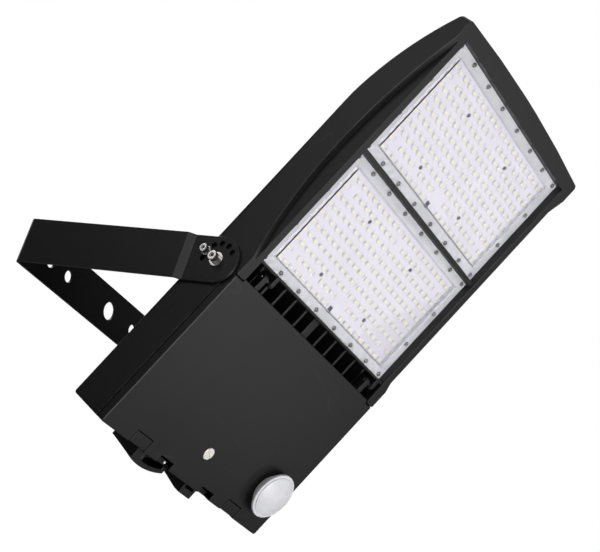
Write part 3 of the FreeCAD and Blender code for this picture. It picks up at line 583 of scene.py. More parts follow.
    @staticmethod
    def handling() -> Tree:
        """Marks of handling: thin broken scratches and a few specks of dust.

        Returns:
            The group, built at the first call.
        """
        name = "handling_marks"
        if name in bpy.data.node_groups:
            return bpy.data.node_groups[name]
        tree, given, out = Groups._new(
            name, {"Scratch Scale": 5.0, "Speck Scale": 260.0}, ("Scratch", "Speck"))
        vector = given.outputs["Vector"]
        stretch = tree.nodes.new("ShaderNodeMapping")
        stretch.inputs["Rotation"].default_value = Groups.SCRATCH_TURN
        stretch.inputs["Scale"].default_value = Groups.SCRATCH_STRETCH
        tree.links.new(vector, stretch.inputs["Vector"])
        lines = Groups._noise(tree, Groups.SCRATCH_NOISE, stretch.outputs["Vector"],
                              given.outputs["Scratch Scale"])
        on_line = tree.nodes.new("ShaderNodeMath")
        on_line.operation = "COMPARE"
        on_line.inputs[1].default_value = Groups.SCRATCH_LEVEL
        on_line.inputs[2].default_value = Groups.SCRATCH_WIDTH
        tree.links.new(lines.outputs["Fac"], on_line.inputs[0])
        patches = Groups._noise(tree, Groups.PATCH_NOISE, vector)
        patches.inputs["Scale"].default_value = Groups.PATCH_SCALE
        somewhere = Groups._range(tree, patches.outputs["Fac"], Groups.PATCH_RANGE)
        tree.links.new(Groups._times(tree, on_line.outputs["Value"], somewhere), out.inputs["Scratch"])
        cells = tree.nodes.new("ShaderNodeTexVoronoi")
        tree.links.new(vector, cells.inputs["Vector"])
        tree.links.new(given.outputs["Speck Scale"], cells.inputs["Scale"])
        dots = Groups._range(tree, cells.outputs["Distance"], Groups.SPECK_RANGE)
        tree.links.new(Groups._times(tree, dots, somewhere), out.inputs["Speck"])
        return tree


# Finishes

MIX_FACTOR, MIX_LOW, MIX_HIGH, MIX_RESULT = 0, 6, 7, 2


@dataclass(frozen=True)
class Finish:
    """The base of a finish: a principled shader with a grain in its tone, gloss and height."""

    name: str
    low: Colour
    high: Colour
    rough: tuple[float, float]
    grain_scale: float
    blotch_scale: float
    grain_height: float
    grain_strength: float

    def build(self) -> Material:
        """Make the material.

        Returns:
            The finished material.
        """
        material = bpy.data.materials.new(self.name)
        material.use_nodes = True
        tree = material.node_tree
        shader = tree.nodes["Principled BSDF"]
        place = tree.nodes.new("ShaderNodeTexCoord").outputs["Object"]
        grain = self.group(tree, Groups.grain(), place)
        grain.inputs["Scale"].default_value = self.grain_scale
        grain.inputs["Blotch Scale"].default_value = self.blotch_scale
        mix = self.mix(tree, grain.outputs["Blotch"], self.high)
        mix.inputs[MIX_LOW].default_value = self.low
        tone = self.marked(tree, place, mix.outputs[MIX_RESULT])
        tree.links.new(tone, shader.inputs["Base Color"])
        gloss = tree.nodes.new("ShaderNodeMapRange")
        gloss.inputs["To Min"].default_value, gloss.inputs["To Max"].default_value = self.rough
        tree.links.new(grain.outputs["Height"], gloss.inputs["Value"])
        tree.links.new(gloss.outputs["Result"], shader.inputs["Roughness"])
        bump = tree.nodes.new("ShaderNodeBump")
        bump.inputs["Strength"].default_value = self.grain_strength
        bump.inputs["Distance"].default_value = self.grain_height
        tree.links.new(grain.outputs["Height"], bump.inputs["Height"])
        tree.links.new(bump.outputs["Normal"], shader.inputs["Normal"])
        self.adjust(shader)
        return material

    def marked(self, tree: Tree, place: Socket, tone: Socket) -> Socket:
        """The tone with marks over it, which a plain finish hasn't."""
        return tone

    def adjust(self, shader: Node) -> None:
        """Set what only one kind of finish has, which is nothing here."""

    @staticmethod
    def group(tree: Tree, effect: Tree, place: Socket) -> Node:
        """Put a shader group in a material.

        Args:
            tree: The material's nodes.
            effect: The shader group.
            place: The coordinates that it reads.

        Returns:
            The group's node.
        """
        node = tree.nodes.new("ShaderNodeGroup")
        node.node_tree = effect
        tree.links.new(place, node.inputs["Vector"])
        return node

    @staticmethod
    def mix(tree: Tree, factor: Socket, high: Colour) -> Node:
        """Add a mix of two colours.

        Args:
            tree: The material's nodes.
            factor: How far the mix goes to the second colour.
            high: The second colour.

        Returns:
            The mix node, with its first colour still to be given.
        """
        node = tree.nodes.new("ShaderNodeMix")
        node.data_type = "RGBA"
        node.inputs[MIX_HIGH].default_value = high
        tree.links.new(factor, node.inputs[MIX_FACTOR])
        return node


@dataclass(frozen=True)
class PowderCoat(Finish):
    """A fine-textured powder coat, paler along its edges from rubbed wear and a painted highlight, with light
    marks of handling.
    """

    rough: tuple[float, float] = (0.36, 0.50)
    grain_scale: float = 1100.0
    blotch_scale: float = 9.0
    grain_height: float = 0.06 * MILLIMETRE
    grain_strength: float = 0.5
    # Pale tone for the marks; on the edge mask it is partly rubbed wear and partly a painted highlight.
    edge: Colour = (0.024, 0.024, 0.024, 1.0)
    scratch_scale: float = 5.0
    specular: float = 0.5

    def marked(self, tree: Tree, place: Socket, tone: Socket) -> Socket:
        """Lay the edges, paler from rubbed wear and a painted highlight, and the scratches and specks over
        the tone.

        Args:
            tree: The material's nodes.
            place: The coordinates that the marks read.
            tone: The coat's own tone.

        Returns:
            The tone with its marks.
        """
        rub_and_highlight = self.group(tree, Groups.edge(), place)
        marks = self.group(tree, Groups.handling(), place)
        marks.inputs["Scratch Scale"].default_value = self.scratch_scale
        for mask in (rub_and_highlight.outputs["Mask"], marks.outputs["Scratch"], marks.outputs["Speck"]):
            over = self.mix(tree, mask, self.edge)
            tree.links.new(tone, over.inputs[MIX_LOW])
            tone = over.outputs[MIX_RESULT]
        return tone

    def adjust(self, shader: Node) -> None:
        """Set the strength of the coat's gloss."""
        shader.inputs["Specular IOR Level"].default_value = self.specular


@dataclass(frozen=True)
class Metal(Finish):
    """Machined metal with fine turning marks."""

    low: Colour = (0.62, 0.61, 0.60, 1.0)
    high: Colour = (0.84, 0.83, 0.82, 1.0)
    rough: tuple[float, float] = (0.14, 0.28)
    grain_scale: float = 2600.0
    blotch_scale: float = 240.0
    grain_height: float = 0.03 * MILLIMETRE
    grain_strength: float = 0.25
    metallic: float = 1.0

    def adjust(self, shader: Node) -> None:
        """Make it metal, or partly so under a pale plating."""
        shader.inputs["Metallic"].default_value = self.metallic


@dataclass(frozen=True)
class Moulded(Finish):
    """Moulded plastic or rubber, or a painted face, with a faint skin."""

    rough: tuple[float, float] = (0.35, 0.48)
    grain_scale: float = 1500.0
    blotch_scale: float = 40.0
    grain_height: float = 0.03 * MILLIMETRE
    grain_strength: float = 0.3
    inner_glow: float = 0.0
    glow_depth: float = 4.0 * MILLIMETRE

    def adjust(self, shader: Node) -> None:
        """Let some light in where the plastic is milky."""
        if self.inner_glow:
            shader.inputs["Subsurface Weight"].default_value = self.inner_glow
            shader.inputs["Subsurface Radius"].default_value = (self.glow_depth,) * 3


@dataclass(frozen=True)
class ClearPlastic(Finish):
    """Clear moulded lens plastic with a slight flow ripple, frosted where it isn't fully clear."""

    low: Colour = (0.95, 0.95, 0.98, 1.0)
    high: Colour = (0.985, 0.985, 1.0, 1.0)
    rough: tuple[float, float] = (0.02, 0.07)
    grain_scale: float = 160.0
    blotch_scale: float = 30.0
    grain_height: float = 0.04 * MILLIMETRE
    grain_strength: float = 0.06
    clear: float = 1.0
    refraction: float = 1.49

    def adjust(self, shader: Node) -> None:
        """Make it clear."""
        shader.inputs["Transmission Weight"].default_value = self.clear
        shader.inputs["IOR"].default_value = self.refraction


class Palette:
    """The finishes, each built once."""

    FINISHES: dict[Enum, Finish] = {
        # Each coat's edge tone is partly rubbed wear and partly a painted edge highlight.
        Slot.BRACKET: PowderCoat(
            "bracket_powder_coat", (0.0040, 0.0040, 0.0042, 1), (0.0058, 0.0056, 0.0056, 1),
            edge=(0.022, 0.022, 0.022, 1)),
        Slot.CAST: PowderCoat(
            "housing_powder_coat", (0.0046, 0.0044, 0.0045, 1), (0.0066, 0.0062, 0.0063, 1)),
        Slot.DOOR: PowderCoat(
            "door_powder_coat", (0.0062, 0.0058, 0.0061, 1), (0.0086, 0.0080, 0.0083, 1),
            edge=(0.030, 0.030, 0.030, 1), scratch_scale=7.0),
        Slot.STEEL: Metal("bright_steel"),
        Slot.RUBBER: Moulded("seal_rubber", (0.014, 0.014, 0.014, 1), (0.024, 0.024, 0.024, 1), (0.6, 0.75)),
        Slot.LENS_SEAL: Moulded("silicone_seal", (0.40, 0.40, 0.42, 1), (0.50, 0.50, 0.52, 1), (0.45, 0.6)),
        Slot.BOARD: Moulded(
            "white_solder_mask", (0.50, 0.485, 0.525, 1), (0.56, 0.545, 0.585, 1), (0.3, 0.42)),
        Slot.LENS: ClearPlastic("clear_lens"),
        Slot.DRIVER: Moulded("driver_case", (0.30, 0.31, 0.32, 1), (0.42, 0.43, 0.44, 1), (0.3, 0.45)),
        Slot.NYLON: Moulded("white_nylon", (0.66, 0.66, 0.64, 1), (0.76, 0.76, 0.74, 1), (0.38, 0.5)),
        Slot.SURGE: Moulded("surge_case", (0.018, 0.018, 0.02, 1), (0.03, 0.03, 0.032, 1), (0.22, 0.34)),
        Slot.SENSOR: Moulded(
            "sensor_shell", (0.70, 0.70, 0.73, 1), (0.78, 0.78, 0.81, 1), (0.30, 0.40),
            blotch_scale=55.0, inner_glow=0.25),
        Extra.FROSTED: ClearPlastic(
            "frosted_flange", (0.76, 0.76, 0.80, 1), (0.97, 0.97, 1.00, 1), (0.16, 0.24),
            blotch_scale=70.0, clear=0.62),
        Extra.PHOSPHOR: Moulded("led_phosphor", (0.61, 0.59, 0.41, 1), (0.67, 0.65, 0.47, 1), (0.25, 0.35)),
        Extra.CUP: Moulded("led_cup", (0.40, 0.39, 0.36, 1), (0.48, 0.47, 0.44, 1), (0.3, 0.4)),
        Extra.PLATED: Metal(
            "plated_screw", (0.92, 0.88, 0.82, 1), (0.97, 0.93, 0.88, 1), (0.28, 0.42), metallic=0.3),
        Extra.DULL_SCREW: Metal("dull_screw", (0.30, 0.30, 0.31, 1), (0.44, 0.44, 0.45, 1), (0.3, 0.45)),
        # Dark tone that is painted shade: it stands for the dark of the board screws' recesses.
        Extra.DARK_SCREW: Metal("dark_screw", (0.10, 0.10, 0.10, 1), (0.17, 0.17, 0.17, 1), (0.3, 0.45)),
        Extra.PLUG: Moulded("black_plug", (0.07, 0.07, 0.075, 1), (0.11, 0.11, 0.115, 1), (0.3, 0.45)),
    }

    def __init__(self) -> None:
        """Build every finish."""
        self.made: dict[Enum, Material] = {key: finish.build() for key, finish in self.FINISHES.items()}

    def dress(self, piece: Piece, slot: Slot, *finishes: Enum) -> None:
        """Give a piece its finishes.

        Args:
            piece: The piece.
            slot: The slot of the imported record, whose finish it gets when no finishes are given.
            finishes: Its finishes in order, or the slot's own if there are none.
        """
        piece.data.materials.clear()
        for finish in finishes or (slot,):
            piece.data.materials.append(self.made[finish])

    def dress_nodes(self) -> None:
        """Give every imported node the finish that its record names."""
        for row in frame["record"]["subparts"]:
            node = frame["nodes"][row["node"]]
            material = self.made[Slot(row["material_slot"])]
            for place in node.material_slots:
                place.material = material
            if not node.material_slots:
                node.data.materials.append(material)


# Castings and pressings


@dataclass(frozen=True)
class Casting:
    """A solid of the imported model, with its edges softened as casting and coating leave them."""

    node: str
    name: str
    body: Body
    slot: Slot
    edge: float
    merge: float = 0.01 * MILLIMETRE
    flat_degrees: float = 1.0

    def build(self, palette: Palette) -> list[Piece]:
        """Make the softened piece in place of the node.

        Args:
            palette: The finishes.

        Returns:
            The piece.
        """
        mesh = frame["nodes"][self.node].data.copy()
        mesh.name = self.name
        piece = bpy.data.objects.new(self.name, mesh)
        bpy.context.scene.collection.objects.link(piece)
        Bench.only(piece)
        bpy.ops.mesh.customdata_custom_splitnormals_clear()
        with Bench.edit(piece):
            bpy.ops.mesh.remove_doubles(threshold=self.merge)
            bpy.ops.mesh.dissolve_limited(angle_limit=math.radians(self.flat_degrees))
        Bench.soften(piece, self.edge * MILLIMETRE)
        palette.dress(piece, self.slot)
        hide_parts(self.node)
        return [Bench.hand_over(piece, SHARED_MATRIX, self.body)]


# Fasteners

# How far a cutting tool stands above a screw head, in millimetres.
CUT_PAST = 1.0


@dataclass(frozen=True)
class PanScrew:
    """A small pan-head screw with a cross recess, standing on its seat.

    The outline and the recess are shares of the radius and the height.
    """

    radius: float
    height: float
    recess: float = 0.5
    recess_reach: float = 0.58
    recess_half_width: float = 0.16
    outline: Profile = ((0.0, 0.0), (1.0, 0.0), (1.0, 0.45), (0.86, 0.82), (0.62, 1.0), (0.0, 1.0))
    steps: int = 20

    def build(self, name: str) -> Piece:
        """Make the head.

        Args:
            name: The piece's name.

        Returns:
            The head, seat at nought, pointing up.
        """
        wide, high = self.radius, self.height
        head = Bench.lathe(name, [(wide * out, high * up) for out, up in self.outline], self.steps)
        long, thin = wide * self.recess_reach, wide * self.recess_half_width
        floor, above = high * (1.0 - self.recess), high + CUT_PAST
        for across, along in ((long, thin), (thin, long)):
            Bench.carve(head, Bench.block("recess", (-across, -along, floor), (across, along, above)))
        return head


@dataclass(frozen=True)
class SlotScrew:
    """A cheese-head screw with a single slot, standing on its seat.

    The outline is in shares of the radius and the height.
    """

    radius: float
    height: float
    slot: float
    shank_radius: float = 0.0
    shank_length: float = 0.0
    outline: Profile = ((1.0, 0.0), (1.0, 0.68), (0.96, 0.86), (0.86, 1.0), (0.0, 1.0))
    tip_share: float = 0.8
    tip_length: float = 0.6
    steps: int = 48

    def build(self, name: str) -> Piece:
        """Make the screw.

        Args:
            name: The piece's name.

        Returns:
            The head with its shank below, seat at nought, slot along X.
        """
        wide, high = self.radius, self.height
        below = [(0.0, 0.0)]
        if self.shank_length:
            thin, deep = self.shank_radius, -self.shank_length
            below = [(0.0, deep), (thin * self.tip_share, deep), (thin, deep + self.tip_length), (thin, 0.0)]
        head = Bench.lathe(name, below + [(wide * out, high * up) for out, up in self.outline], self.steps)
        across, half = 2 * wide, self.slot / 2
        tool = Bench.block("slot", (-across, -half, high / 2), (across, half, high + CUT_PAST))
        Bench.carve(head, tool)
        return head


@dataclass(frozen=True)
class SocketBolt:
    """A hexagon-socket bolt with a knurled head, standing on its seat."""

    head_radius: float
    head_height: float
    shank_radius: float
    shank_length: float
    socket_radius: float
    chamfer: float = 0.55
    seat_round: float = 0.3
    tip_inset: float = 0.4
    tip_length: float = 0.5
    knurl_margin: float = 0.9
    knurl_depth: float = 0.17
    knurl_clear: float = 0.1
    socket_share: float = 0.6
    socket_sides: int = 6
    steps: int = 56

    def build(self, name: str) -> Piece:
        """Make the bolt.

        Args:
            name: The piece's name.

        Returns:
            The bolt, head up, seat at nought.
        """
        wide, high, thin, deep = self.head_radius, self.head_height, self.shank_radius, -self.shank_length
        low, top = self.knurl_margin, high - self.knurl_margin
        profile = ((0.0, deep), (thin - self.tip_inset, deep), (thin, deep + self.tip_length), (thin, 0.0),
                   (wide - self.seat_round, 0.0), (wide, self.seat_round), (wide, low), (wide, top),
                   (wide, high - self.chamfer), (wide - self.chamfer, high), (0.0, high))
        bolt = Bench.lathe(name, profile, self.steps)
        step = math.tau / self.steps

        def every_other(middle: Vector, normal: Vector) -> bool:
            """Whether a face is one of the knurl's grooves."""
            number = math.floor((math.atan2(middle.y, middle.x) + math.tau) / step)
            return low < middle.z < top and middle.xy.length > thin + self.knurl_clear and number % 2 == 0

        with Bench.edit(bolt, every_other):
            bpy.ops.mesh.extrude_faces_move(TRANSFORM_OT_shrink_fatten={"value": -self.knurl_depth})
        floor = high * (1.0 - self.socket_share)
        bpy.ops.mesh.primitive_cylinder_add(vertices=self.socket_sides, radius=self.socket_radius, depth=high,
                                            location=(0.0, 0.0, floor + high / 2))
        Bench.carve(bolt, Bench.named("socket"))
        return bolt


@dataclass(frozen=True)
class Washer:
    """A chamfered washer, lying on its seat; a split one is cut through on the slant."""

    radius: float
    hole: float
    thickness: float
    split: bool = False
    chamfer: float = 0.25
    slit_half_width: float = 0.35
    slant_degrees: float = 28.0
    steps: int = 56

    def build(self, name: str) -> Piece:
        """Make the washer.

        Args:
            name: The piece's name.

        Returns:
            The washer, seat at nought.
        """
        wide, thin, high, edge = self.radius, self.hole, self.thickness, self.chamfer
        profile = ((thin, 0.0), (wide - edge, 0.0), (wide, edge), (wide, high - edge), (wide - edge, high),
                   (thin, high), (thin, 0.0))
        ring = Bench.lathe(name, profile, self.steps)
        if self.split:
            half, tall, far = self.slit_half_width, 3 * high, 2 * wide
            tool = Bench.block("slit", (-half, 0.0, -tall), (half, far, tall))
            with Bench.edit(tool):
                bpy.ops.transform.rotate(value=math.radians(self.slant_degrees), orient_axis="Y",
                                         center_override=(0.0, 0.0, high / 2))
            Bench.carve(ring, tool)
        return ring


@dataclass(frozen=True)
class BoltSet:
    """A bolt with its flat and spring washers, on both ears."""

    name: str
    body: Body
    place: Matrix
    deep: float
    high: float
    seat: float
    turn: float
    bolt: SocketBolt
    washer: Washer
    spring: Washer

    def pair(self, piece: Piece, node: str, out: float, palette: Palette) -> Piece:
        """Put a piece on both ears in place of a node.

        Args:
            piece: The piece, standing at the origin.
            node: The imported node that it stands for.
            out: How far its seat lies from the middle.
            palette: The finishes.

        Returns:
            Both as one piece.
        """
        twin = Bench.copy(piece, node + "_fine")
        Bench.stand(piece, (out, self.deep, self.high), Facing.RIGHT, self.turn)
        Bench.stand(twin, (-out, self.deep, self.high), Facing.LEFT, self.turn)
        both = Bench.join(node + "_fine", (piece, twin))
        palette.dress(both, Slot.STEEL)
        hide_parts(node)
        return Bench.hand_over(both, self.place, self.body)

    def build(self, palette: Palette) -> list[Piece]:
        """Make the three pairs, stacked on the ears.

        Args:
            palette: The finishes.

        Returns:
            The pair of washers, the pair of spring washers and the pair of bolts.
        """
        spring_seat = self.seat + self.washer.thickness
        bolt_seat = spring_seat + self.spring.thickness
        return [
            self.pair(self.washer.build("washer"), self.name + "_washers", self.seat, palette),
            self.pair(self.spring.build("spring"), self.name + "_spring_washers", spring_seat, palette),
            self.pair(self.bolt.build("bolt"), self.name + "_bolts", bolt_seat, palette),
        ]


# LED modules

# How far a point may lie from a line or a level and still count as on it, in millimetres.
SEAM_TOLERANCE = 0.05
LEVEL_TOLERANCE = 0.01
# Which of the lens outlines is the line where the flange starts.
FLANGE_FOOT = 3


@dataclass(frozen=True)
class Rectangle:
    """A level outline on the lens: half its width, its two ends and its depth from the front."""

    half: float
    low: float
    high: float
    deep: float


@dataclass(frozen=True)
class Dome:
    """One dome of the lens: how far its foot lies inside its cell, and its rings as (share, rise)."""

    inset: float
    steps: tuple[tuple[float, float], ...]


@dataclass(frozen=True)
class BoardPlug:
    """The plug that feeds a board: a block with an open mouth."""

    half_width: float = 1.8
    half_length: float = 4.0
    height: float = 2.6
    wall: float = 0.7
    mouth: float = 1.8
    mouth_taper: float = 0.05
    edge: float = 0.25

    def build(self, name: str, place: Point) -> Piece:
        """Make the plug.

        Args:
            name: The piece's name.
            place: The middle of its foot on the board.

        Returns:
            The plug, mouth to the front.
        """
        x, face, z = place
        low = (x - self.half_width, face - self.height, z - self.half_length)
        high = (x + self.half_width, face, z + self.half_length)
        shell = Bench.block(name, low, high)
        with Bench.edit(shell, faces_front):
            bpy.ops.mesh.inset(thickness=self.wall)
            bpy.ops.mesh.inset(thickness=self.mouth_taper, depth=-self.mouth)
        Bench.soften(shell, self.edge)
        return shell


@dataclass(frozen=True)
class LedModule:
    """One LED module: its packages, domed lens and screws, in head millimetres."""

    name: str
    start: float
    length: float = 143.8
    clear: float = 0.4
    half_width: float = 146.5
    flange_along: float = 11.3
    flange_across: float = 16.0
    flange_cut: float = 0.6
    lens_wall: float = 1.6
    lens_front: float = 4.6
    lens_skin: float = 6.8
    flange_face: float = 8.6
    lens_back: float = 11.0
    rounding: float = 0.4
    low_rounding: float = 0.3
    draft: float = 0.5
    low_draft: float = 0.4
    trim_clear: float = 0.3
    columns: int = 10
    rows: int = 10
    column_pitch: float = 12.7
    row_pitch: float = 12.03
    middle_space: float = 16.0
    pattern_shift: float = -2.4
    cell_share: float = 0.4
    outer_dome: Dome = Dome(2.3, ((0.78, 0.15), (0.68, 0.16), (0.45, 0.08)))
    inner_dome: Dome = Dome(2.6, ((0.78, 0.13), (0.68, 0.14), (0.45, 0.07)))
    lens_degrees: float = 50.0
    board_face: float = 11.4
    package: float = 5.0
    package_height: float = 0.8
    package_degrees: float = 30.0
    phosphor_margin: float = 0.5
    phosphor_dip: float = 0.15
    screw_inset: float = 4.2
    screw: PanScrew = PanScrew(2.6, 1.7)
    screw_across: tuple[float, ...] = (21.9, 63.9, 104.0, 138.7)
    screw_turns: tuple[float, ...] = (10.0, 47.0, 71.0, 25.0, 60.0)
    board_screw: PanScrew = PanScrew(2.3, 1.6)
    board_screw_across: float = 53.4
    board_screw_along: tuple[float, float] = (-39.0, 34.0)
    board_screw_turns: tuple[float, ...] = (15.0, 40.0, 65.0)
    plug: BoardPlug = BoardPlug()
    plug_place: tuple[float, float] = (-5.0, 14.0)
    gaps: tuple[tuple[int, int], ...] = ((1, 8), (10, 8), (18, 8), (1, 1), (5, 1), (9, 1), (10, 1), (13, 1),
                                         (18, 1), (9, 0), (10, 0))

    @property
    def middle(self) -> float:
        """The middle of the module along the lamp."""
        return self.start + self.length / 2

    @property
    def first_column(self) -> float:
        """The outermost column on the left."""
        return -self.middle_space / 2 - self.column_pitch * (self.columns - 1)

    @property
    def half_step(self) -> float:
        """From a column of the left half to its fellow in the right half."""
        return self.column_pitch * (self.columns - 1) + self.middle_space

    @property
    def first_row(self) -> float:
        """The row nearest to the driver box."""
        return self.middle + self.pattern_shift - self.row_pitch * (self.rows - 1) / 2

    @property
    def trim(self) -> float:
        """The low edge of the two sheets of domes."""
        return self.outlines()[0].low + self.trim_clear

    def spread(self, piece: Piece, merge: bool) -> None:
        """Repeat the first cell over both halves of the module.

        Args:
            piece: The piece in the first cell.
            merge: Whether neighbours grow together.
        """
        Bench.repeat(piece, (self.column_pitch, 0.0, 0.0), self.columns, merge)
        Bench.repeat(piece, (0.0, 0.0, self.row_pitch), self.rows, merge)
        Bench.repeat(piece, (self.half_step, 0.0, 0.0), 2)

    def in_gap(self, place: Vector) -> bool:
        """Whether a place lies in one of the cells that hold no package.

        Args:
            place: The place, of which the depth doesn't count.

        Returns:
            True in such a cell.
        """
        reach = self.column_pitch * self.cell_share
        for column, row in self.gaps:
            half, number = divmod(column, self.columns)
            across = self.first_column + self.column_pitch * number + self.half_step * half
            along = self.first_row + self.row_pitch * row
            if abs(place.x - across) < reach and abs(place.z - along) < reach:
                return True
        return False

    def packages(self, palette: Palette) -> Piece:
        """Make the LED packages, each a pale cup with a yellowish phosphor face.

        Args:
            palette: The finishes.

        Returns:
            All packages of the module as one piece, dressed.
        """
        half = self.package / 2
        top = self.board_face - self.package_height
        low = (self.first_column - half, top, self.first_row - half)
        high = (self.first_column + half, self.board_face, self.first_row + half)
        cup = Bench.block("led_packages_" + self.name, low, high)
        palette.dress(cup, Slot.BOARD, Extra.CUP, Extra.PHOSPHOR)
        cup.active_material_index = 1
        with Bench.edit(cup, faces_front):
            bpy.ops.mesh.inset(thickness=self.phosphor_margin)
            bpy.ops.mesh.inset(thickness=self.phosphor_dip, depth=-self.phosphor_dip)
            bpy.ops.object.material_slot_assign()
        self.spread(cup, merge=False)
        with Bench.edit(cup, lambda place, normal: self.in_gap(place), Pick.POINTS):
            bpy.ops.mesh.delete(type="VERT")
        return cup

    def domes(self, name: str, dome: Dome, level: float) -> Piece:
        """Make one side of the lens: a dome over each package, on a level sheet.

        Args:
            name: The sheet's name.
            dome: The dome's form.
            level: The depth of the sheet.

        Returns:
            The open sheet, trimmed at its low edge.
        """
        bpy.ops.object.select_all(action="DESELECT")
        centre = (self.first_column, level, self.first_row)
        bpy.ops.mesh.primitive_plane_add(size=1.0, location=centre, rotation=(math.radians(90.0), 0.0, 0.0))
        bpy.context.active_object.scale = (self.column_pitch, self.row_pitch, 1.0)
        sheet = Bench.named(name)
        near = self.row_pitch / 4
        # The third points of each side move in by half, so that the dome's ring has even steps.
        with Bench.edit(sheet):
            bpy.ops.mesh.subdivide(number_cuts=2)
        with Bench.edit(sheet, lambda place, normal: abs(place.x - centre[0]) < near, Pick.POINTS):
            bpy.ops.transform.resize(value=(0.5, 1.0, 1.0), center_override=centre)
        with Bench.edit(sheet, lambda place, normal: abs(place.z - centre[2]) < near, Pick.POINTS):
            bpy.ops.transform.resize(value=(1.0, 1.0, 0.5), center_override=centre)
        with Bench.edit(sheet):
            bpy.ops.mesh.dissolve_faces()
            bpy.ops.mesh.inset(thickness=dome.inset)
            bpy.ops.transform.tosphere(value=1.0, center_override=centre)
            for share, rise in dome.steps:
                bpy.ops.mesh.extrude_region_move(TRANSFORM_OT_translate={"value": (0.0, -rise, 0.0)})
                bpy.ops.transform.resize(value=(share, 1.0, share), center_override=centre)
        self.spread(sheet, merge=True)

        def raised_gap(place: Vector, normal: Vector) -> bool:
            """Whether a point belongs to a dome over a cell with no package."""
            return place.y < level - LEVEL_TOLERANCE and self.in_gap(place)

        with Bench.edit(sheet, raised_gap, Pick.POINTS):
            bpy.ops.transform.resize(value=(1.0, 0.0, 1.0), center_override=(0.0, level, 0.0))
        seam = (self.middle_space - self.column_pitch) / 2
        with Bench.edit(sheet, lambda place, normal: abs(abs(place.x) - seam) < SEAM_TOLERANCE, Pick.POINTS):
            bpy.ops.mesh.bridge_edge_loops()
        with Bench.edit(sheet):
            bpy.ops.mesh.bisect(plane_co=(0.0, 0.0, self.trim), plane_no=(0.0, 0.0, 1.0), clear_inner=True)
        return sheet

    def skirt(self, sheet: Piece, level: float, outlines: Sequence[Rectangle]) -> None:
        """Draw the rim of a sheet through a row of outlines.

        Args:
            sheet: The open sheet.
            level: The depth of its rim.
            outlines: The outlines in order.
        """
        edge = self.middle_space / 2 + self.column_pitch * (self.columns - 0.5)
        now = Rectangle(edge, self.trim, self.first_row + self.row_pitch * (self.rows - 0.5), level)
        with Bench.edit(sheet, None, Pick.POINTS):
            Bench.pick_rims()
            for goal in outlines:
                bpy.ops.mesh.extrude_edges_move()
                along = (goal.high - goal.low) / (now.high - now.low)
                fixed = now.low if along == 1.0 else (goal.low - along * now.low) / (1.0 - along)
                bpy.ops.transform.resize(value=(goal.half / now.half, 1.0, along),
                                         center_override=(0.0, now.deep, fixed))
                bpy.ops.transform.translate(value=(0.0, goal.deep - now.deep, 0.0))
                now = goal

    def outlines(self) -> list[Rectangle]:
        """List the outlines that the lens follows from its domed front over the flange to its back.

        Returns:
            The outlines in order; the last is the rim of the inner side.
        """
        wide = self.half_width - self.clear
        low, high = self.start + self.clear, self.start + self.length - self.clear
        half = wide - self.flange_across
        bottom, top = low + self.flange_along - self.flange_cut, high - self.flange_along
        wall, turn, slope, low_slope = self.lens_wall, self.rounding, self.draft, self.low_draft
        foot, low_foot = slope + turn, low_slope + turn
        return [
            Rectangle(half - turn, bottom + self.low_rounding, top - turn, self.lens_front),
            Rectangle(half, bottom, top, self.lens_front + slope),
            Rectangle(half + slope, bottom - low_slope, top + slope, self.flange_face - turn),
            Rectangle(half + foot, bottom - low_foot, top + foot, self.flange_face),
            Rectangle(wide - turn, low + turn, high - turn, self.flange_face),
            Rectangle(wide, low, high, self.flange_face + turn),
            Rectangle(wide, low, high, self.lens_back),
            Rectangle(half - wall + slope, bottom + wall - slope, top - wall + slope, self.lens_back),
            Rectangle(half - wall, bottom + wall, top - wall, self.lens_skin),
        ]

    def lens(self) -> Piece:
        """Make the clear lens: hollow domes on a field, a step and a flange.

        Returns:
            The lens as one closed solid.
        """
        *front, inner = self.outlines()
        name = "lens_panel_" + self.name
        outside = self.domes(name, self.outer_dome, self.lens_front)
        self.skirt(outside, self.lens_front, front)
        inside = self.domes(name, self.inner_dome, self.lens_skin)
        self.skirt(inside, self.lens_skin, [inner])
        panel = Bench.join(name, (outside, inside))
        with Bench.edit(panel, None, Pick.POINTS):
            Bench.pick_rims()
            bpy.ops.mesh.bridge_edge_loops()
            bpy.ops.mesh.select_all(action="SELECT")
            bpy.ops.mesh.normals_make_consistent(inside=False)
        return panel

    def frost(self, lens: Piece) -> None:
        """Give the flange of the lens its frosted finish, which is the second of the lens.

        Args:
            lens: The dressed lens.
        """
        field = self.outlines()[FLANGE_FOOT]
        lens.active_material_index = 1

        def on_flange(middle: Vector, normal: Vector) -> bool:
            """Whether a face belongs to the flange round the domed field."""
            return abs(middle.x) > field.half or not field.low < middle.z < field.high

        with Bench.edit(lens, on_flange):
            bpy.ops.object.material_slot_assign()

    def screw_places(self) -> list[Point]:
        """List the places of the screws round the lens flange.

        Returns:
            The screws along both ends, then two at each side.
        """
        low, high = self.start + self.screw_inset, self.start + self.length - self.screw_inset
        face = self.flange_face
        places = [(side * x, face, z) for x in self.screw_across for side in (-1, 1) for z in (low, high)]
        for side in (-1, 1):
            for share in (1, 2):
                places.append((side * self.screw_across[-1], face, low + (high - low) * share / 3))
        return places

    def board_screw_places(self) -> list[Point]:
        """The places of the four screws that hold the board."""
        return [(side * self.board_screw_across, self.board_face, self.middle + along)
                for side in (-1, 1) for along in self.board_screw_along]

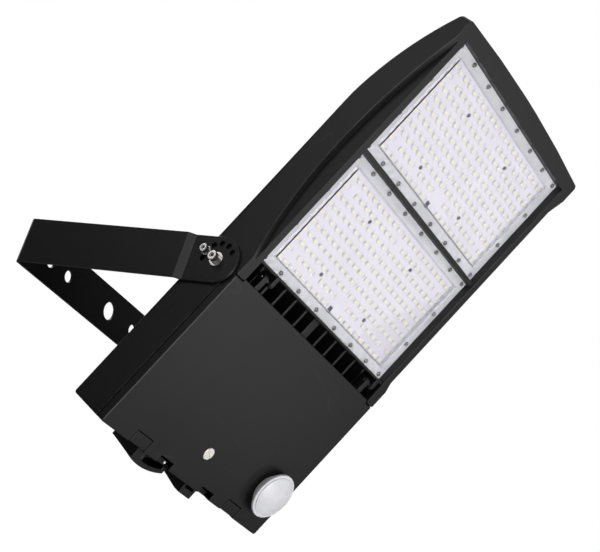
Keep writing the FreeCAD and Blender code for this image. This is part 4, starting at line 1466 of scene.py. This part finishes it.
    def build(self, palette: Palette) -> list[Piece]:
        """Make and dress the module's pieces.

        Args:
            palette: The finishes.

        Returns:
            The lens, the LED packages, both sets of screws and the plug.
        """
        lens = self.lens()
        palette.dress(lens, Slot.LENS, Slot.LENS, Extra.FROSTED)
        self.frost(lens)
        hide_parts("lens_" + self.name)
        lens.visible_shadow = False
        packages = self.packages(palette)
        screws = Bench.scatter(self.screw.build("screw"), "lens_screws_" + self.name, self.screw_places(),
                               self.screw_turns)
        palette.dress(screws, Slot.STEEL, Extra.DULL_SCREW)
        held = Bench.scatter(self.board_screw.build("screw"), "board_screws_" + self.name,
                             self.board_screw_places(), self.board_screw_turns)
        # The board screws get a dark tone that is painted shade of their recesses.
        palette.dress(held, Slot.STEEL, Extra.DARK_SCREW)
        across, along = self.plug_place
        plug = self.plug.build("board_plug_" + self.name, (across, self.board_face, self.start + along))
        palette.dress(plug, Slot.SURGE, Extra.PLUG)
        return [
            Bench.hand_over(lens, HEAD_MATRIX, Body.HEAD, self.lens_degrees),
            Bench.hand_over(packages, HEAD_MATRIX, Body.HEAD, self.package_degrees),
            *(Bench.hand_over(piece, HEAD_MATRIX, Body.HEAD) for piece in (screws, held, plug)),
        ]


# Door


@dataclass(frozen=True)
class DoorScrew:
    """The captive slotted screw in the door's recess."""

    along: float = 39.0
    recess: float = 1.9
    turn: float = -35.0
    screw: SlotScrew = SlotScrew(radius=7.0, height=2.7, slot=1.3, shank_radius=2.5, shank_length=14.0)

    def build(self, palette: Palette) -> list[Piece]:
        """Make the screw in place of its node.

        Args:
            palette: The finishes.

        Returns:
            The screw.
        """
        piece = self.screw.build("door_screw_fine")
        Bench.stand(piece, (0.0, self.recess, self.along), Facing.FRONT, self.turn)
        palette.dress(piece, Slot.STEEL, Extra.PLATED)
        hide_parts("door_screw")
        return [Bench.hand_over(piece, HEAD_MATRIX, Body.SCREW)]


@dataclass(frozen=True)
class MotionSensor:
    """The round motion sensor: a collar with a stem and a domed white cap."""

    across: float = 120.5
    along: float = 47.5
    seal: float = 1.0
    neck_radius: float = 20.0
    neck_round: float = 0.5
    neck_steps: int = 64
    neck_groove: float = 0.7
    groove_levels: tuple[float, float, float, float] = (2.4, 2.0, 1.2, 0.8)
    stem_radius: float = 10.0
    stem_length: float = 10.0
    stem_chamfer: float = 0.6
    cap_seat: float = 9.0
    cap_radius: float = 27.6
    cap_foot: Profile = ((2.0, 0.0), (0.5, 0.3), (0.0, 1.0))
    cap_rim: float = 3.6
    rim_round: tuple[float, float] = (0.4, 0.5)
    cap_steps: int = 72
    lens_radius: float = 24.6
    lens_foot: float = 13.4
    lens_top: float = 20.0
    lens_rings: int = 9
    lip_out: float = 0.9
    lip_rise: float = 0.3
    groove_out: float = 0.6
    groove_depth: float = 1.1

    def neck(self) -> Piece:
        """Make the collar with a rounded foot and a groove, and the stem through the door.

        Returns:
            The collar, door face at nought, pointing up.
        """
        wide, thin, low, top = self.neck_radius, self.stem_radius, self.seal, self.cap_seat
        cut, edge, end = self.stem_chamfer, self.neck_round, -self.stem_length
        bed = wide - self.neck_groove
        start, floor, floor_end, stop = (top - level for level in self.groove_levels)
        profile = ((0.0, end), (thin - cut, end), (thin, end + cut), (thin, low), (wide - edge, low),
                   (wide, low + edge), (wide, start), (bed, floor), (bed, floor_end), (wide, stop),
                   (wide, top), (0.0, top))
        return Bench.lathe("sensor_neck_fine", profile, self.neck_steps)

    def cap(self) -> Piece:
        """Make the cap: a rounded rim, a groove and a shallow dome.

        Returns:
            The cap, pointing up.
        """
        wide, low, out = self.cap_radius, self.cap_seat, self.lens_radius
        rim, groove = low + self.cap_rim, self.lens_foot - self.groove_depth
        inset, drop = self.rim_round
        profile = [(0.0, low)] + [(wide - inward, low + rise) for inward, rise in self.cap_foot]
        profile += [(wide, rim - drop), (wide - inset, rim), (out + self.lip_out, rim + self.lip_rise),
                    (out + self.groove_out, groove), (out, groove)]
        for number in range(1, self.lens_rings + 1):
            share = math.cos(math.radians(90.0 * number / self.lens_rings))
            rise = (self.lens_top - self.lens_foot) * (1.0 - share * share)
            profile.append((out * share, self.lens_foot + rise))
        return Bench.lathe("sensor_cap_fine", profile, self.cap_steps)

    def build(self, palette: Palette) -> list[Piece]:
        """Make both pieces in place of their nodes.

        Args:
            palette: The finishes.

        Returns:
            The collar and the cap.
        """
        pieces = []
        for piece, node in ((self.neck(), "sensor_neck"), (self.cap(), "sensor_cap")):
            Bench.stand(piece, (self.across, 0.0, self.along), Facing.FRONT)
            palette.dress(piece, Slot.SENSOR)
            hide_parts(node)
            pieces.append(Bench.hand_over(piece, HEAD_MATRIX, Body.DOOR))
        return pieces


# Driver box


@dataclass(frozen=True)
class DriverBay:
    """Screws inside the driver box, seen when the door is open, and one on the door's seat."""

    tab_face: float = 47.0
    tab_along: float = 149.0
    tab_across: tuple[float, ...] = (-142.0, -14.0, 14.0, 142.0)
    tab_turns: tuple[float, ...] = (20.0, 55.0, 5.0)
    tab_screw: PanScrew = PanScrew(2.7, 2.0)
    way_floor: float = 40.5
    way_along: float = 94.0
    way_across: tuple[float, ...] = (-75.3, -60.0, -44.7)
    way_turns: tuple[float, ...] = (30.0, 75.0, 110.0)
    way_screw: SlotScrew = SlotScrew(3.4, 2.2, 0.9, steps=28)
    seat_place: Point = (-33.1, 9.6, 3.2)
    seat_turns: tuple[float, ...] = (35.0,)
    seat_screw: PanScrew = PanScrew(1.7, 1.2)

    def build(self, palette: Palette) -> list[Piece]:
        """Make the three sets of screws.

        Args:
            palette: The finishes.

        Returns:
            The driver screws, the terminal screws and the screw on the door's seat.
        """
        tabs = Bench.scatter(self.tab_screw.build("screw"), "driver_screws",
                             [(x, self.tab_face, self.tab_along) for x in self.tab_across], self.tab_turns)
        ways = Bench.scatter(self.way_screw.build("screw"), "terminal_screws",
                             [(x, self.way_floor, self.way_along) for x in self.way_across], self.way_turns)
        seat = Bench.scatter(self.seat_screw.build("screw"), "door_seat_screw", [self.seat_place],
                             self.seat_turns)
        pieces = []
        for piece, finish in ((tabs, Slot.STEEL), (ways, Slot.STEEL), (seat, Extra.PLATED)):
            palette.dress(piece, Slot.STEEL, finish)
            pieces.append(Bench.hand_over(piece, HEAD_MATRIX, Body.HEAD))
        return pieces


# Studio


def aimed(place: Point, aim: Point) -> Quaternion:
    """The turn that points a lamp or a camera from its place at a spot."""
    return (Vector(aim) - Vector(place)).to_track_quat("-Z", "Y")


@dataclass(frozen=True)
class Softbox:
    """A soft rectangular lamp that points at a spot."""

    name: str
    place: Point
    aim: Point
    size: tuple[float, float]
    watts: float

    def build(self) -> None:
        """Add the lamp."""
        bpy.ops.object.light_add(type="AREA", location=self.place)
        lamp = bpy.context.active_object
        lamp.name = self.name
        lamp.data.shape = "RECTANGLE"
        lamp.data.size, lamp.data.size_y = self.size
        lamp.data.energy = self.watts
        lamp.rotation_mode = "QUATERNION"
        lamp.rotation_quaternion = aimed(self.place, self.aim)


@dataclass(frozen=True)
class Studio:
    """Camera, floor, backdrop and lamps."""

    camera_place: Point = (-1.42783, -1.19420, -0.58117)
    camera_aim: Point = (-0.03088, -0.25195, 0.05182)
    camera_roll: float = 18.944
    camera_lens: float = 103.73
    camera_sensor: float = 36.0
    camera_reach: float = 50.0
    floor_size: float = 60.0
    floor_height: float = -2.2
    floor_tone: Colour = (0.58, 0.58, 0.58, 1.0)
    floor_finish: Moulded = Moulded("pale_floor", (0.80, 0.80, 0.80, 1), (0.84, 0.84, 0.84, 1), (0.6, 0.7),
                                    grain_scale=30.0, blotch_scale=3.0)
    around: float = 0.06
    behind: float = 1.0
    softboxes: tuple[Softbox, ...] = (
        Softbox("key_softbox", (0.0, -2.1, -0.95), (0.0, -0.25, 0.05), (1.1, 1.1), 33.0),
        Softbox("gloss_softbox", (0.30, -0.78, -0.03), (0.0, -0.25, 0.05), (0.60, 0.66), 0.77),
        Softbox("side_softbox", (-2.2, -0.8, 0.9), (-0.1, -0.25, 0.1), (1.2, 1.2), 14.0),
        Softbox("tip_softbox", (-1.0, 0.10, 0.70), (-0.1, -0.3, 0.15), (0.5, 0.5), 0.7),
        Softbox("bolt_card", (-0.95, 0.28, 0.352), (-0.17, -0.24, 0.0), (0.12, 0.12), 0.10),
        Softbox("screw_card", (0.70, -0.71, -0.38), (0.0, -0.19, -0.14), (0.10, 0.10), 0.08),
        Softbox("back_softbox", (0.5, 2.2, 1.7), (0.0, -0.2, 0.05), (2.4, 2.4), 34.0),
        Softbox("top_softbox", (0.4, 0.5, 2.3), (0.0, -0.2, 0.05), (2.2, 2.2), 18.0),
        Softbox("right_softbox", (2.4, 0.5, 0.9), (0.0, -0.2, 0.05), (1.6, 1.6), 9.0),
    )

    def camera(self) -> None:
        """Set the camera at the photograph's place and roll."""
        bpy.ops.object.camera_add(location=self.camera_place)
        camera = bpy.context.active_object
        camera.name = "studio_camera"
        camera.data.sensor_width = self.camera_sensor
        camera.data.lens = self.camera_lens
        camera.data.clip_end = self.camera_reach
        roll = Quaternion((0.0, 0.0, 1.0), math.radians(self.camera_roll))
        camera.rotation_mode = "QUATERNION"
        camera.rotation_quaternion = aimed(self.camera_place, self.camera_aim) @ roll
        bpy.context.scene.camera = camera

    def floor(self) -> None:
        """Add a wide pale floor, with a glow that only the camera sees."""
        bpy.ops.object.select_all(action="DESELECT")
        bpy.ops.mesh.primitive_plane_add(size=self.floor_size, location=(0.0, 0.0, self.floor_height))
        floor = Bench.named("studio_floor")
        material = self.floor_finish.build()
        tree = material.node_tree
        shader = tree.nodes["Principled BSDF"]
        shader.inputs["Emission Color"].default_value = self.floor_tone
        path = tree.nodes.new("ShaderNodeLightPath")
        tree.links.new(path.outputs["Is Camera Ray"], shader.inputs["Emission Strength"])
        floor.data.materials.append(material)

    def backdrop(self) -> None:
        """Set a white that the camera sees behind the lamp, and a dim white that lights it."""
        world = bpy.context.scene.world or bpy.data.worlds.new("studio_world")
        bpy.context.scene.world = world
        world.use_nodes = True
        tree = world.node_tree
        tree.nodes.clear()
        out = tree.nodes.new("ShaderNodeOutputWorld")
        path = tree.nodes.new("ShaderNodeLightPath")
        mix = tree.nodes.new("ShaderNodeMixShader")
        tree.links.new(path.outputs["Is Camera Ray"], mix.inputs[0])
        for place, strength in ((1, self.around), (2, self.behind)):
            light = tree.nodes.new("ShaderNodeBackground")
            light.inputs["Strength"].default_value = strength
            light.inputs["Color"].default_value = WHITE
            tree.links.new(light.outputs["Background"], mix.inputs[place])
        tree.links.new(mix.outputs["Shader"], out.inputs["Surface"])

    def build(self) -> None:
        """Set the whole stage."""
        bpy.context.scene.view_settings.view_transform = "Standard"
        self.camera()
        self.floor()
        self.backdrop()
        for softbox in self.softboxes:
            softbox.build()


# The lamp

CASTINGS = (
    Casting("housing", "housing_casting", Body.HEAD, Slot.CAST, 0.5),
    Casting("door", "door_casting", Body.DOOR, Slot.DOOR, 0.4),
    Casting("yoke_bracket", "bracket_bar", Body.YOKE, Slot.BRACKET, 0.6),
    Casting("driver_left", "driver_case_left", Body.HEAD, Slot.DRIVER, 0.9),
    Casting("driver_right", "driver_case_right", Body.HEAD, Slot.DRIVER, 0.9),
    Casting("terminal_block", "terminal_strip", Body.HEAD, Slot.NYLON, 0.5),
    Casting("hinge_pins", "hinge_pin_pair", Body.HEAD, Slot.STEEL, 0.3),
)

LED_MODULES = (LedModule("near", start=219.1), LedModule("tip", start=368.5))

PIVOT_SET = BoltSet(
    "pivot", Body.HEAD, HEAD_MATRIX,
    deep=HEAD_PLACE.pivot_depth,
    high=HEAD_PLACE.pivot_height,
    seat=165.15,
    turn=20.0,
    bolt=SocketBolt(head_radius=5.0, head_height=6.0, shank_radius=3.0, shank_length=14.6, socket_radius=2.9),
    washer=Washer(radius=7.6, hole=3.05, thickness=1.6),
    spring=Washer(radius=5.2, hole=3.05, thickness=2.4, split=True))

INDEX_TURN = math.radians(HEAD_PLACE.tilt_degrees)
INDEX_CIRCLE = 17.2
INDEX_SET = BoltSet(
    "index", Body.YOKE, BRACKET_MATRIX,
    deep=INDEX_CIRCLE * math.cos(INDEX_TURN) - HEAD_PLACE.arm_reach,
    high=INDEX_CIRCLE * math.sin(INDEX_TURN),
    seat=165.1,
    turn=50.0,
    bolt=SocketBolt(head_radius=4.25, head_height=5.0, shank_radius=2.5, shank_length=6.0, socket_radius=2.4),
    washer=Washer(radius=5.0, hole=2.55, thickness=1.2),
    spring=Washer(radius=4.3, hole=2.55, thickness=1.6, split=True))


def main() -> None:
    """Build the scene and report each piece."""
    logging.basicConfig(level=logging.INFO, format="%(name)s: %(message)s")
    Studio().build()
    palette = Palette()
    palette.dress_nodes()
    for assembly in (*CASTINGS, *LED_MODULES, PIVOT_SET, INDEX_SET, DoorScrew(), MotionSensor(), DriverBay()):
        for piece in assembly.build(palette):
            LOG.info("%s: %d faces", piece.name, len(piece.data.polygons))


if __name__ == "__main__":
    main()
